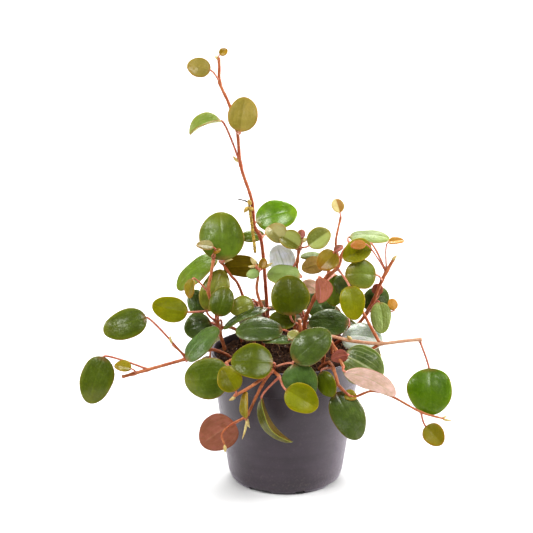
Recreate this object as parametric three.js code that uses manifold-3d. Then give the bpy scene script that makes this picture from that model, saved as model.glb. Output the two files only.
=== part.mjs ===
// A small potted peperomia: round, thick leaves on red stems in a plastic nursery pot.
//
// Frame: millimetres, +Z up, origin at the centre of the pot's underside, front of the plant
// towards -Y. The pot is a tapered cup with a wide collar and a ring of feet. It is filled with
// potting soil, and every shoot stands in a hole of its own in that soil. A shoot is one grown
// piece: rooted stem, side branches, leaf stalks and leaves are joined into one solid.
//
// The shoots of the front are written down as they are seen from the front, slightly from above.
// A place is [across, up, front]: millimetres right of the pot's axis and above its front foot in
// the picture plane, and millimetres in front of the pot's axis. place() turns it into a point.
// The shoots behind them follow a rule, in backShoot().

import * as THREE from 'three';
import { mergeVertices } from 'three/addons/utils/BufferGeometryUtils.js';
import Module from 'manifold-3d';

const wasm = await Module();
wasm.setup();

// ---------------------------------------------------------------- driving dimensions

const GAP = 0.3; // between pieces that touch
const CUT_MARGIN = 1; // how far a cut goes past the surface that it opens
const POT = {
  height: 81.4,
  rimRadius: 45.4,
  collarHeight: 15.4,
  collarStep: 1.3,
  cornerRadius: 35.2,
  cornerHeight: 6,
  footRadius: 32,
  footWidth: 4.5,
  footHeight: 2.2,
  footFlare: 1.9,
  wall: 1.3,
  innerStep: 1,
  innerTaper: 0.2,
  rimBevel: 0.6,
  floorUnderside: 2.6,
  padRadius: 8,
  drainRadius: 3,
  drainCircle: 18,
  drains: 6,
  sides: 36,
};
// The feet repeat every quarter turn, in degrees from the front: a foot, a slot, a foot, a wide slot.
const FEET = { quarters: 4, start: -16, first: 26, slot: 10, second: 28 };
const SOIL = {
  edgeDrop: 4.4,
  mound: 4,
  sectors: 24,
  rings: 4,
  cornerClearance: 1.5,
  footClearance: 2,
  lumps: { height: 0.8, x: 0.55, y: 0.47, phase: 1.3 },
  crumbs: { height: 0.48, x: 0.9, y: -0.8 },
};
const ROOT = { depth: 15, rise: 1.8, overlap: 0.6 };
const SIDES = { stem: 5, thread: 3, drain: 8, pad: 16 };
// egg: how much wider the blade is near its base than near its tip, as a share of its width.
const BLADE = { thickness: 1.1, egg: 0.12 };
// half and thinHalf: half the width of a leaf's stalk, and of that of a short leaf. swing: how far
// the stalk swings out before it enters the blade, as a share of its reach, up to swingMost.
const STALK = {
  half: 0.65,
  thinHalf: 0.5,
  shortLeaf: 11,
  swing: 0.45,
  swingMost: 2.5,
  stepLength: 7,
  steps: { least: 2, most: 3 },
};
// bareEnd: the last share of the stem's final stretch, in which nothing starts.
const STEM = { stepLength: 9, leastSteps: 2, bareEnd: 0.15 };
// Rows of points across a blade, by its length.
const ROWS = [{ upTo: 11, rows: 2 }, { upTo: 21, rows: 3 }, { upTo: 40, rows: 4 }];
const SPIKE = { radius: 0.9, thread: 0.5, bract: 2.4 };
// The line of sight: the eye looks down at 16 degrees on a point 136.5 above the front foot.
const SIGHT = {
  elevation: 16,
  distance: 1100,
  planeFront: 37.6,
  planeHeight: 2.6,
  aimUp: 136.5,
  aimLeft: 11.7,
};

// How a leaf of each kind is curved. crown: how far it bulges, as a share of its width. keel: how
// steeply its halves fold up from the midrib. arch: how far its ends bend down, as a share of its length.
const KINDS = {
  old: { crown: 0.1, keel: 0.06, arch: 0.04 },
  mature: { crown: 0.08, keel: 0.05, arch: 0.03 },
  olive: { crown: 0.06, keel: 0.1, arch: 0.03 },
  young: { crown: 0.02, keel: 0.28, arch: 0.03 },
  bronze: { crown: 0.02, keel: 0.25, arch: 0.03 },
  blush: { crown: 0.08, keel: 0.1, arch: 0.06 },
  russet: { crown: 0.08, keel: 0.1, arch: 0.05 },
  silver: { crown: 0.08, keel: 0.05, arch: 0.03 },
  tip: { crown: 0.0, keel: 0.3, arch: 0.05 },
  folded: { crown: 0.0, keel: 0.5, arch: 0.12 },
};
const COLOURS = { pot: 0x5f5961, soil: 0x2b1d15, foliage: 0x5d8426, spike: 0x7c7426 };

// ---------------------------------------------------------------- the shoots of the front
//
// root is the stem's place on the soil in plan [x, y]. path lists the stem's places above it.
// A leaf is [at, across, up, front, length, width, heading, facing, tilt, kind]. at counts the
// path's places from 0 at the soil. The next three are the middle of the blade. heading is where
// its tip points in the picture (0 right, 90 up). tilt is the angle by which its upper face turns
// away from the viewer, towards the direction facing. Past 90 its underside shows. A bud is
// [at, across, up, front, width], with the place of its point.

const SHOOTS = [
  {
    name: 'shoot_tall', root: [-6, 14], radius: 1,
    path: [[-10, 98, -12], [-14.4, 149.4, -8], [-19, 160.6, -5], [-20.6, 176.5, -2], [-27, 196.7, 0],
      [-29.5, 219.5, 2], [-34.1, 233.8, 3], [-39.6, 246.4, 3], [-40, 256.5, 3], [-40.4, 262.4, 3]],
    leaves: [
      [5, -49.3, 221.7, 5, 20, 17, 204, 114, 63, 'folded'],
      [5.9, -25.9, 227.9, 7, 21, 17.5, 82, 90, 10, 'olive'],
      [8, -52.4, 255.9, 4, 14, 12, 165, 100, 15, 'olive'],
      [10, -37.5, 265.2, 4, 5.4, 4.8, 40, 90, 15, 'tip'],
      [2.5, -5.5, 167, -14, 26, 20, 20, 80, 25, 'old'],
      [2.2, -20.4, 154.8, -15, 15, 10, 195, 90, 40, 'mature'],
    ],
    buds: [[9.6, -42.9, 262.6, 3, 1.8], [5.1, -31.9, 203, 1.5, 1.8]],
  },
  {
    name: 'shoot_left_crown', root: [-19, 11], radius: 0.9,
    path: [[-21.6, 105.6, -11], [-25.5, 117.6, -11], [-29.1, 126.6, -9], [-32.8, 130.8, -7],
      [-37.6, 137.6, -6], [-40.2, 140.1, -5]],
    leaves: [
      [6, -38.6, 155, -9, 30, 27, 95, 90, 12, 'mature'],
      [5.6, -54, 133.2, -14, 31, 23, 219, 130, 55, 'old'],
    ],
    buds: [[5.2, -31.6, 140.8, -3, 2]],
  },
  {
    name: 'shoot_left_upright', root: [-37, 5], radius: 1,
    path: [[-40.4, 99, -5], [-42.2, 109.4, -3], [-46.5, 121.1, 0], [-45, 131.5, 1], [-43.2, 141.8, 1]],
    leaves: [
      [5, -48.7, 148.9, 3, 10.5, 8, 165, 90, 45, 'young'],
      [5, -41.4, 145.8, 3, 5.5, 3.5, 50, 90, 40, 'tip'],
      [3, -57.2, 123.2, 6, 12, 9, 250, 180, 45, 'young'],
      [2.1, -69.7, 111.3, 2, 22, 16, 169, 250, 15, 'young'],
      [1.6, -38.3, 115.6, 7, 18.5, 15, 75, 90, 10, 'mature'],
      [1.4, -42.6, 122.4, -6, 27, 17, 70, 90, 10, 'olive'],
      [0.8, -52.9, 100.4, -4, 17, 17, 200, 90, 15, 'old'],
      [1.2, -53.4, 115.2, -13, 17, 12, 100, 90, 20, 'old'],
    ],
  },
  {
    name: 'shoot_left_long', root: [-33, -9], radius: 1,
    path: [[-44.4, 86.7, 9], [-54, 83.4, 12], [-59.7, 81.2, 13], [-81.6, 75, 15], [-98.3, 70.3, 16]],
    leaves: [
      [4.05, -113.9, 68.3, 18, 29.5, 20.5, 252, 180, 10, 'mature'],
      [4.5, -97.9, 76.4, 18, 10.5, 9, 160, 90, 45, 'young'],
      [3, -96.7, 101.7, 14, 27, 19, 200, 100, 20, 'mature'],
      [2.6, -50.5, 90.4, 15, 27, 20, 46, 135, 52, 'old'],
    ],
    branches: [
      {
        from: 2.9, radius: 0.6, path: [[-66.6, 88.2, 15], [-68.4, 90, 14.5]],
        leaves: [],
        buds: [[2, -69.6, 95.4, 14, 1.5]],
      },
    ],
  },
  {
    name: 'shoot_left_rim', root: [-27, -20], radius: 0.8,
    path: [[-31.5, 81, 27], [-36.6, 78.3, 34]],
    leaves: [
      [2, -47.6, 69.5, 38, 29, 24.5, 187, 180, 20, 'mature'],
    ],
  },
  {
    name: 'shoot_front', root: [-7, -30], radius: 1,
    path: [[-8.4, 75.5, 39.5], [-9.6, 72.8, 47], [-21.6, 64.2, 53.5], [-31.8, 58.5, 54]],
    leaves: [
      [1, -20.4, 79.3, 48, 24.5, 22, 178, 90, 25, 'olive'],
      [1, 8.8, 67, 49, 23, 21, -68, -90, 10, 'old'],
      [4, -34, 69.1, 52, 16, 14.5, 118, 90, 10, 'young'],
    ],
    buds: [[4, -34.3, 56.2, 54, 2]],
    branches: [
      {
        from: 1.9, radius: 0.9, path: [[-14.4, 65.4, 50], [-21.6, 50.4, 52], [-23.4, 46.2, 52]],
        leaves: [
          [3, -40.7, 36.4, 44, 24, 23, 215, 90, 165, 'russet'],
          [3, -24.4, 53.5, 56, 15.5, 10, 85, 180, 60, 'young'],
        ],
        buds: [[3, -21.6, 39.6, 53, 2], [2.8, -26.4, 32.6, 53, 1.5]],
        branches: [
          {
            from: 3, radius: 0.6, path: [[-32.4, 42, 50], [-38.4, 36, 49], [-36.6, 28.8, 49]],
            leaves: [],
            buds: [[3, -36.6, 24.8, 49, 1.8]],
          },
        ],
      },
      {
        from: 1.5, radius: 0.8, path: [[-3, 69.6, 48]],
        leaves: [
          [1, 9.5, 57.1, 57, 21, 17, -30, 90, 5, 'young'],
          [1, -8.4, 42, 57, 31, 18, -53, 215, 74, 'folded'],
        ],
      },
    ],
  },
  {
    name: 'shoot_centre_left', root: [-14, 2], radius: 0.9,
    path: [[-12.6, 105.6, 2], [-17.4, 121.2, 4], [-16.8, 130.8, 6], [-18, 138, 6]],
    leaves: [
      [4, -13.8, 138.4, 8, 7, 5, 80, 90, 20, 'tip'],
      [3.4, -19.9, 132.1, 8, 8, 6.5, 200, 90, 20, 'mature'],
      [3.3, -26.6, 136.2, -9, 22, 18, 188, 80, 140, 'russet'],
      [1.4, -26.6, 112.5, 3, 15, 12.5, 205, 90, 15, 'olive'],
      [0.9, -24.8, 106.2, 8, 29, 20, 206, 115, 76, 'old'],
    ],
    buds: [[4, -21.2, 142.2, 7, 2.6], [4, -22.8, 136.6, 8, 2.2], [4, -7.8, 138.8, 7, 2.6]],
  },
  {
    name: 'shoot_centre_back', root: [7, 16], radius: 0.9,
    path: [[5, 104, -13], [6.3, 133.2, -3], [7.8, 146.4, 0], [9.6, 151.8, 1]],
    leaves: [
      [3, -6.4, 156.6, 2, 14, 13, 125, 90, 30, 'folded'],
      [3, 2.2, 152.3, 6, 14, 12.5, 145, 90, 25, 'folded'],
      [4, 9.2, 156, 1, 6.5, 5, 80, 90, 30, 'bronze'],
      [3.2, 19.9, 153.5, 3, 15.5, 13, 37, 90, 15, 'young'],
      [2.4, -2.8, 141.2, -3, 18, 16, 110, 90, 165, 'silver'],
      [2, -1.5, 131.4, 4, 20, 18, 170, 90, 45, 'mature'],
    ],
    buds: [[4, 13.2, 153.4, 3, 2.6]],
  },
  {
    name: 'shoot_centre', root: [3, -4], radius: 1,
    path: [[5, 97, 7], [5.4, 103, 12]],
    leaves: [
      [2, 2.2, 119.2, 22, 24, 23, 92, 90, 8, 'olive'],
      [1.6, -2.2, 104.5, 17, 16, 14, 165, 90, 35, 'olive'],
      [0.8, -16.2, 98.4, 27, 28, 20, 186, 90, 45, 'old'],
      [0.5, -5.1, 92.4, 31, 18, 12, 190, 90, 65, 'old'],
      [0.8, 4.4, 95.7, 33, 8, 6.5, 60, 90, 40, 'blush'],
    ],
    branches: [
      { from: 0.8, radius: 1, path: [[8.6, 97.8, 20], [8, 105, 22]], leaves: [] },
    ],
  },
  {
    name: 'shoot_right_crown', root: [12, 0], radius: 1.1,
    path: [[11.4, 103.2, 6], [15.6, 114.6, 8], [23.4, 129, 8], [30.6, 135.6, 6], [33.6, 144, 2],
      [39, 151.2, -3]],
    leaves: [
      [2.9, 21.1, 122, 15, 15, 13, -84, 0, 140, 'folded'],
      [4.3, 24.8, 140, 12, 14, 13, 228, 90, 15, 'bronze'],
      [4.6, 31.6, 147.4, 9, 6.5, 4.5, 40, 90, 30, 'tip'],
      [6, 50.2, 154.1, -9, 24, 16, -12, 90, 58, 'mature'],
      [3.2, 16.2, 137, 0, 14, 12, 200, 90, 150, 'blush'],
      [3.4, 15, 142.8, -6, 13, 8, 190, 90, 55, 'mature'],
      [2.6, 29.1, 122.3, -2, 20, 14, -95, 90, 20, 'mature'],
      [4, 39.8, 114.6, 22, 20.5, 15, -80, 90, 8, 'young'],
      [2.2, 14.4, 124.8, -2, 11, 9, 150, 90, 155, 'blush'],
    ],
    branches: [
      {
        from: 4.4, radius: 0.7, path: [[30.3, 147, 4], [30, 153, 5], [33.1, 167.3, 4]],
        leaves: [[3, 31, 173.1, 4, 9, 7.5, 105, 90, 20, 'tip']],
      },
    ],
  },
  {
    name: 'shoot_right_tip', root: [29, 8], radius: 1,
    path: [[38.4, 97, -4], [49.2, 109.8, -3], [58.2, 129.6, 1], [64.8, 141.3, 3]],
    leaves: [
      [3.3, 66.1, 151.7, 4, 9.5, 6, 12, 90, 45, 'tip'],
      [3.25, 42.5, 145.6, 6, 19, 14, 215, 90, 20, 'young'],
      [3.25, 43.2, 149.4, 10, 9, 6.5, 190, 90, 30, 'bronze'],
      [2.9, 44.7, 131.8, 9, 18.5, 18, 178, 90, 10, 'olive'],
      [2, 54.2, 116.8, -9, 18, 16, 60, 90, 20, 'old'],
      [2.3, 54.8, 123, -3, 8, 7, 100, 90, 150, 'blush'],
      [2.1, 64, 114, 2, 7.5, 6, 100, 90, 25, 'tip'],
      [1.9, 56.9, 105.7, 8, 19, 15, -82, 0, 30, 'mature'],
    ],
    buds: [[4, 66.8, 143.4, 4, 1.8], [2, 67.2, 109.4, 0, 1.6]],
  },
  {
    name: 'shoot_right_long', root: [16, -12], radius: 1,
    path: [[22, 94.4, 20], [39.6, 91.8, 22], [56.4, 90.3, 23], [70.2, 91.8, 25], [81.6, 92.9, 26]],
    leaves: [
      [5, 86.5, 61.5, 29, 28, 27, -88, 90, 8, 'mature'],
    ],
    buds: [[2, 36.8, 95, 24, 2.2]],
    branches: [
      {
        from: 3, radius: 0.9, path: [[48, 105.6, 20], [42.6, 116.4, 16], [39.6, 121.8, 12]],
        leaves: [[3, 34.6, 125.4, 0, 14, 12, 120, 90, 20, 'old']],
      },
      { from: 3, radius: 0.9, path: [[48, 84.6, 21]], leaves: [] },
    ],
  },
  {
    name: 'shoot_right_front', root: [22, -21], radius: 1,
    path: [[24, 93.6, 31], [28.8, 88.2, 38], [32.4, 80.4, 44], [34.8, 75.6, 46]],
    leaves: [
      [4, 51, 67.8, 52, 33, 20, -40, 72, 126, 'blush'],
      [2.6, 32, 82.5, 45, 10, 9, 200, 90, 150, 'blush'],
      [2.2, 46.5, 77, 37, 26, 24, -30, 70, 12, 'old'],
    ],
  },
  {
    name: 'shoot_front_right', root: [19, -30], radius: 1,
    path: [[25.8, 79, 34.5], [29.4, 72.5, 43], [31.2, 64.8, 46]],
    leaves: [
      [3, 37.2, 46.8, 45, 31, 20, -62, 0, 12, 'old'],
      [1.6, 24.4, 65.9, 46, 16, 12, -60, 180, 25, 'mature'],
      [3, 38.6, 59.3, 42, 8, 7, -30, 90, 30, 'olive'],
    ],
    branches: [
      {
        from: 2.9, radius: 0.7,
        path: [[39.6, 58.5, 43], [51.6, 61.8, 40], [63.6, 58.5, 39], [81, 49.2, 37], [95.4, 45, 35]],
        leaves: [
          [4, 88.7, 35.3, 36, 14.5, 13, -50, 90, 15, 'young'],
        ],
        buds: [[5, 99.6, 44.2, 35, 1.4], [4.9, 96.6, 47, 35, 1.2]],
      },
    ],
  },
  {
    name: 'shoot_front_centre', root: [8, -20], radius: 0.9,
    path: [[9, 84, 27]],
    leaves: [
      [1, 15.3, 89, 46, 27.5, 20, 42, 90, 15, 'old'],
    ],
  },
  {
    name: 'shoot_right_low', root: [28, -4], radius: 0.9,
    path: [[27, 94, 4]],
    leaves: [
      [1, 25.5, 103, 8, 24, 20, 170, 90, 40, 'old'],
      [1, 45.8, 93.5, 8, 25, 22, -10, 90, 40, 'old'],
      [0.8, 20.4, 114.3, -6, 20, 18, 110, 90, 25, 'old'],
    ],
  },
];

// ---------------------------------------------------------------- the shoots of the back
//
// They fan out over the back of the rim in two habits, one standing and one hanging over the rim.
// path lists [outwards, height] of the stem, measured from the pot's axis and its underside. A
// leaf is [at, outwards, sideways, height, length, width, droop, kind]. droop is how far the upper
// face leans outwards from straight up, in degrees.

const STANDING = {
  name: 'shoot_back_standing', azimuths: [62, 118], rootRadius: 22, radius: 0.9,
  path: [[24, 90], [30, 97], [38, 99], [46, 97]],
  leaves: [
    [1.2, 30, 9, 99, 18, 15, 15, 'old'],
    [2, 34, -9, 97, 20, 16, 25, 'mature'],
    [2.8, 44, 9, 100, 18, 15, 35, 'old'],
    [3.5, 48, -7, 95, 15, 12, 45, 'olive'],
  ],
};
const HANGING = {
  name: 'shoot_back_hanging', azimuths: [34, 76, 104, 146], rootRadius: 32, radius: 0.9,
  path: [[36, 87], [45, 87.5], [52, 82], [56, 70], [57, 60]],
  leaves: [
    [2.4, 55, 7, 85, 22, 17, 50, 'old'],
    [3.2, 59, -8, 74, 21, 16, 65, 'mature'],
    [4.6, 61, 3, 58, 18, 14, 75, 'olive'],
  ],
};
const SPREAD = 0.75; // how far a leaf of the back points sideways, where 1 is as far as outwards

// ---------------------------------------------------------------- from the picture to the part

const UP = new THREE.Vector3(0, 0, 1);
const Y_AXIS = new THREE.Vector3(0, 1, 0);
const RIGHT = new THREE.Vector3(1, 0, 0);
const elevation = THREE.MathUtils.degToRad(SIGHT.elevation);
const UPWARD = new THREE.Vector3(0, Math.sin(elevation), Math.cos(elevation));
const TOWARDS = new THREE.Vector3(0, -Math.cos(elevation), Math.sin(elevation));
const PLANE_ORIGIN = new THREE.Vector3(0, -SIGHT.planeFront, SIGHT.planeHeight);
const EYE = PLANE_ORIGIN.clone()
  .addScaledVector(RIGHT, -SIGHT.aimLeft)
  .addScaledVector(UPWARD, SIGHT.aimUp)
  .addScaledVector(TOWARDS, SIGHT.distance);

// The point that lies `front` before the pot's axis on the line of sight through [across, up].
function place([across, up, front]) {
  const onPlane = PLANE_ORIGIN.clone().addScaledVector(RIGHT, across).addScaledVector(UPWARD, up);
  const share = (-front - EYE.y) / (onPlane.y - EYE.y);
  return EYE.clone().lerp(onPlane, share);
}

function inPicture(degrees) {
  const angle = THREE.MathUtils.degToRad(degrees);
  return RIGHT.clone().multiplyScalar(Math.cos(angle)).addScaledVector(UPWARD, Math.sin(angle));
}

// ---------------------------------------------------------------- solids

function solidOf(geometry) {
  const bare = geometry.clone();
  bare.deleteAttribute('normal');
  bare.deleteAttribute('uv');
  const merged = mergeVertices(bare, 1e-4);
  return new wasm.Manifold(new wasm.Mesh({
    numProp: 3,
    vertProperties: merged.attributes.position.array,
    triVerts: new Uint32Array(merged.index.array),
  }));
}

function geometryOf(solid) {
  const mesh = solid.getMesh();
  const geometry = new THREE.BufferGeometry();
  geometry.setAttribute('position', new THREE.BufferAttribute(new Float32Array(mesh.vertProperties), 3));
  geometry.setIndex(new THREE.BufferAttribute(new Uint32Array(mesh.triVerts), 1));
  geometry.computeVertexNormals();
  return geometry;
}

function joined(solids) {
  return solids.reduce((all, next) => all.add(next));
}

function polygon(radius, sides) {
  const corners = Array.from({ length: sides }, (_, k) => {
    const angle = (2 * Math.PI * k) / sides;
    return new THREE.Vector2(radius * Math.cos(angle), radius * Math.sin(angle));
  });
  return new THREE.Shape(corners);
}

function tube(curve, radius, sides, steps) {
  const options = { steps, extrudePath: curve, bevelEnabled: false };
  return solidOf(new THREE.ExtrudeGeometry(polygon(radius, sides), options));
}

// An upright prism on the given outline, from one height to another.
function prism(shape, low, high) {
  const options = { depth: high - low, curveSegments: 3, bevelEnabled: false };
  const geometry = new THREE.ExtrudeGeometry(shape, options);
  return solidOf(geometry.translate(0, 0, low));
}

// A solid of revolution about +Z from [radius, height] pairs.
function turned(profile, sides) {
  const points = profile.map(([radius, height]) => new THREE.Vector2(radius, height));
  return solidOf(new THREE.LatheGeometry(points, sides).rotateX(Math.PI / 2));
}

// ---------------------------------------------------------------- leaves

// A leaf that was written down as it is seen: its place, and its own axes. They are its midrib
// from base to tip, its upper face, and the direction across it.
function seenLeaf([at, across, up, front, length, width, heading, facing, tilt, kind]) {
  const angle = THREE.MathUtils.degToRad(tilt);
  const face = TOWARDS.clone().multiplyScalar(Math.cos(angle));
  face.addScaledVector(inPicture(facing), Math.sin(angle));
  const middle = place([across, up, front]);
  return { at, length, width, kind, middle, ...leafAxes(face, inPicture(heading)) };
}

function leafAxes(face, towardsTip) {
  const midrib = towardsTip.clone().addScaledVector(face, -towardsTip.dot(face)).normalize();
  return { face, midrib, across: midrib.clone().cross(face) };
}

// The blade's middle surface, `along` the midrib from its middle and `aside` from it. It rises
// above its own plane by a bulge over the whole outline and a fold along the midrib.
function bladePoint(leaf, along, aside, lift) {
  const { crown, keel, arch } = KINDS[leaf.kind];
  const lengthwise = (2 * along) / leaf.length;
  const sideways = (2 * aside) / leaf.width;
  const bulge = crown * leaf.width * (1 - lengthwise ** 2 - sideways ** 2);
  const height = bulge + keel * Math.abs(aside) - arch * leaf.length * lengthwise ** 2;
  return leaf.middle.clone()
    .addScaledVector(leaf.midrib, along)
    .addScaledVector(leaf.across, aside)
    .addScaledVector(leaf.face, height + lift);
}

// The sections of a leaf are rings of points, upper ones first: from left to right above, and
// from right to left below. The stalk's rings have four points and the blade's rows six, with
// the midrib between the edges. The stalk leaves the stem, swings round and runs into the blade.
function stalkRings(leaf, start) {
  const base = bladePoint(leaf, -leaf.length / 2, 0, 0);
  const reach = base.distanceTo(start);
  const swingOut = Math.min(STALK.swing * reach, STALK.swingMost);
  const swing = base.clone().addScaledVector(leaf.midrib, -swingOut);
  const curve = new THREE.QuadraticBezierCurve3(start, swing, base);
  const { least, most } = STALK.steps;
  const steps = THREE.MathUtils.clamp(Math.round(reach / STALK.stepLength), least, most);
  const half = leaf.length > STALK.shortLeaf ? STALK.half : STALK.thinHalf;
  const axes = { across: leaf.across.clone(), face: leaf.face.clone() };
  let heading = curve.getTangent(1);
  const rings = [];
  for (let step = steps - 1; step >= 0; step -= 1) {
    const tangent = curve.getTangent(step / steps);
    const turn = new THREE.Quaternion().setFromUnitVectors(heading, tangent);
    for (const axis of [axes.across, axes.face]) axis.applyQuaternion(turn);
    heading = tangent;
    const middle = curve.getPoint(step / steps);
    rings.unshift([[-1, 1], [1, 1], [1, -1], [-1, -1]].map(([aside, above]) => middle.clone()
      .addScaledVector(axes.across, aside * half).addScaledVector(axes.face, above * half)));
  }
  return rings;
}

// The blade's outline is an egg-shaped oval, widest a little nearer to its base. Its rings are
// the end of the stalk, the rows across the blade, and the two points of its tip.
function bladeRings(leaf) {
  const { length, width } = leaf;
  const rows = ROWS.find(({ upTo }) => length <= upTo).rows;
  const ring = (along, asides) => [
    ...asides.map((aside) => bladePoint(leaf, along, aside, BLADE.thickness / 2)),
    ...asides.toReversed().map((aside) => bladePoint(leaf, along, aside, -BLADE.thickness / 2)),
  ];
  const rings = [ring(-length / 2, [-STALK.thinHalf, STALK.thinHalf])];
  for (let row = 1; row <= rows; row += 1) {
    const turn = (Math.PI * row) / (rows + 1);
    const half = (width / 2) * Math.sin(turn) * (1 + BLADE.egg * Math.cos(turn));
    rings.push(ring((-length / 2) * Math.cos(turn), [-half, 0, half]));
  }
  rings.push(ring(length / 2, [0]));
  return rings;
}

// Both faces of the blade are split into the same triangles, so that they never cross.
function leafSolid(leaf, start) {
  const rings = [...stalkRings(leaf, start), ...bladeRings(leaf)];
  const starts = [];
  rings.reduce((count, ring) => {
    starts.push(count);
    return count + ring.length;
  }, 0);
  const index = (ring, k) => starts[ring] + (k % rings[ring].length);
  const faces = [[index(0, 0), index(0, 3), index(0, 2)], [index(0, 0), index(0, 2), index(0, 1)]];
  for (let ring = 0; ring + 1 < rings.length; ring += 1) {
    const [here, next] = [rings[ring], rings[ring + 1]];
    const p = (k) => index(ring, k);
    const q = (k) => index(ring + 1, k);
    if (here.length === 4 && next.length === 6) {
      faces.push([p(0), p(1), q(1)], [p(0), q(1), q(0)], [p(1), q(2), q(1)]);
      faces.push([p(2), p(3), q(4)], [p(2), q(4), q(3)], [p(3), q(5), q(4)]);
      faces.push([p(1), p(2), q(3)], [p(1), q(3), q(2)], [p(3), p(0), q(0)], [p(3), q(0), q(5)]);
    } else if (next.length === 2) {
      faces.push([p(0), p(1), q(0)], [p(1), p(2), q(0)], [p(3), p(4), q(1)], [p(4), p(5), q(1)]);
      faces.push([p(2), p(3), q(1)], [p(2), q(1), q(0)], [p(5), p(0), q(0)], [p(5), q(0), q(1)]);
    } else {
      for (let k = 0; k < here.length; k += 1) {
        const below = k >= here.length / 2;
        if (below) faces.push([p(k), p(k + 1), q(k)], [p(k + 1), q(k + 1), q(k)]);
        else faces.push([p(k), p(k + 1), q(k + 1)], [p(k), q(k + 1), q(k)]);
      }
    }
  }
  const geometry = new THREE.BufferGeometry();
  const positions = rings.flat().flatMap((point) => point.toArray());
  geometry.setAttribute('position', new THREE.Float32BufferAttribute(positions, 3));
  geometry.setIndex(faces.flat());
  return solidOf(geometry);
}

// A bud is a four-sided spindle from inside the stem to its point.
function budSolid(start, tip, width) {
  const along = tip.clone().sub(start);
  const spindle = new THREE.OctahedronGeometry(1).scale(width / 2, along.length() / 2, width / 2);
  spindle.applyQuaternion(new THREE.Quaternion().setFromUnitVectors(Y_AXIS, along.clone().normalize()));
  const middle = start.clone().lerp(tip, 0.5);
  return solidOf(spindle.translate(middle.x, middle.y, middle.z));
}

// ---------------------------------------------------------------- shoots

function soilTop(x, y) {
  const inside = 1 - (x * x + y * y) / POT.rimRadius ** 2;
  const { lumps, crumbs } = SOIL;
  const lump = lumps.height * Math.sin(lumps.x * x + lumps.phase) * Math.cos(lumps.y * y);
  const crumb = crumbs.height * Math.sin(crumbs.x * x + crumbs.y * y);
  return POT.height - SOIL.edgeDrop + SOIL.mound * Math.max(0, inside) + lump + crumb;
}

// The stem is a smooth curve through its points, with its leaves, buds and side branches. They
// all start inside it.
function stemSolids({ points, radius, leaves, buds = [], branches = [] }) {
  const curve = new THREE.CatmullRomCurve3(points, false, 'catmullrom', 0.5);
  const last = points.length - 1;
  const pointAt = (at) => curve.getPoint(Math.min(at, last - STEM.bareEnd) / last);
  const steps = Math.max(STEM.leastSteps, Math.round(curve.getLength() / STEM.stepLength));
  const solids = [tube(curve, radius, SIDES.stem, steps)];
  for (const leaf of leaves) solids.push(leafSolid(leaf, pointAt(leaf.at)));
  for (const [at, across, up, front, width] of buds) {
    solids.push(budSolid(pointAt(at), place([across, up, front]), width));
  }
  for (const branch of branches) {
    const path = [pointAt(branch.from), ...branch.path.map(place)];
    solids.push(...stemSolids({ ...branch, points: path, leaves: branch.leaves.map(seenLeaf) }));
  }
  return solids;
}

// The rooted end of a shoot stands upright in the soil and rises a little out of it.
function rootSolid({ root: [x, y], radius }, extra) {
  const top = soilTop(x, y);
  const outline = polygon(radius + extra, SIDES.stem);
  return prism(outline, top - ROOT.depth - extra, top + ROOT.rise + extra).translate([x, y, 0]);
}

function shootSolid(shoot) {
  const [x, y] = shoot.root;
  const points = [new THREE.Vector3(x, y, soilTop(x, y) + ROOT.rise - ROOT.overlap), ...shoot.path];
  return joined([rootSolid(shoot, 0), ...stemSolids({ ...shoot, points })]);
}

function seenShoot(shoot) {
  return { ...shoot, path: shoot.path.map(place), leaves: shoot.leaves.map(seenLeaf) };
}

function backShoot(habit, index) {
  const azimuth = THREE.MathUtils.degToRad(habit.azimuths[index]);
  const out = new THREE.Vector3(Math.cos(azimuth), Math.sin(azimuth), 0);
  const sideways = UP.clone().cross(out);
  const spot = (outwards, aside, height) => out.clone()
    .multiplyScalar(outwards).addScaledVector(sideways, aside).addScaledVector(UP, height);
  const leaves = habit.leaves.map(([at, outwards, aside, height, length, width, droop, kind]) => {
    const lean = THREE.MathUtils.degToRad(droop);
    const face = UP.clone().multiplyScalar(Math.cos(lean)).addScaledVector(out, Math.sin(lean));
    const towardsTip = out.clone().addScaledVector(sideways, SPREAD * Math.sign(aside));
    towardsTip.addScaledVector(UP, -Math.sin(lean));
    return { at, length, width, kind, middle: spot(outwards, aside, height), ...leafAxes(face, towardsTip) };
  });
  const path = habit.path.map(([outwards, height]) => spot(outwards, 0, height));
  const root = spot(habit.rootRadius, 0, 0);
  return { name: `${habit.name}_${index + 1}`, root: [root.x, root.y], radius: habit.radius, path, leaves };
}

const shoots = [
  ...SHOOTS.map(seenShoot),
  ...[STANDING, HANGING].flatMap((habit) => habit.azimuths.map((_, index) => backShoot(habit, index))),
];

// ---------------------------------------------------------------- pot and soil

const underCollar = POT.height - POT.collarHeight;
const bodyRadius = POT.rimRadius - POT.collarStep;
const floorTop = POT.floorUnderside + POT.wall;

function ringSector(inner, outer, from, to) {
  const shape = new THREE.Shape();
  const [start, end] = [from, to].map((degrees) => THREE.MathUtils.degToRad(degrees - 90));
  shape.absarc(0, 0, outer, start, end, false);
  shape.absarc(0, 0, inner, end, start, true);
  return shape;
}

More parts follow.
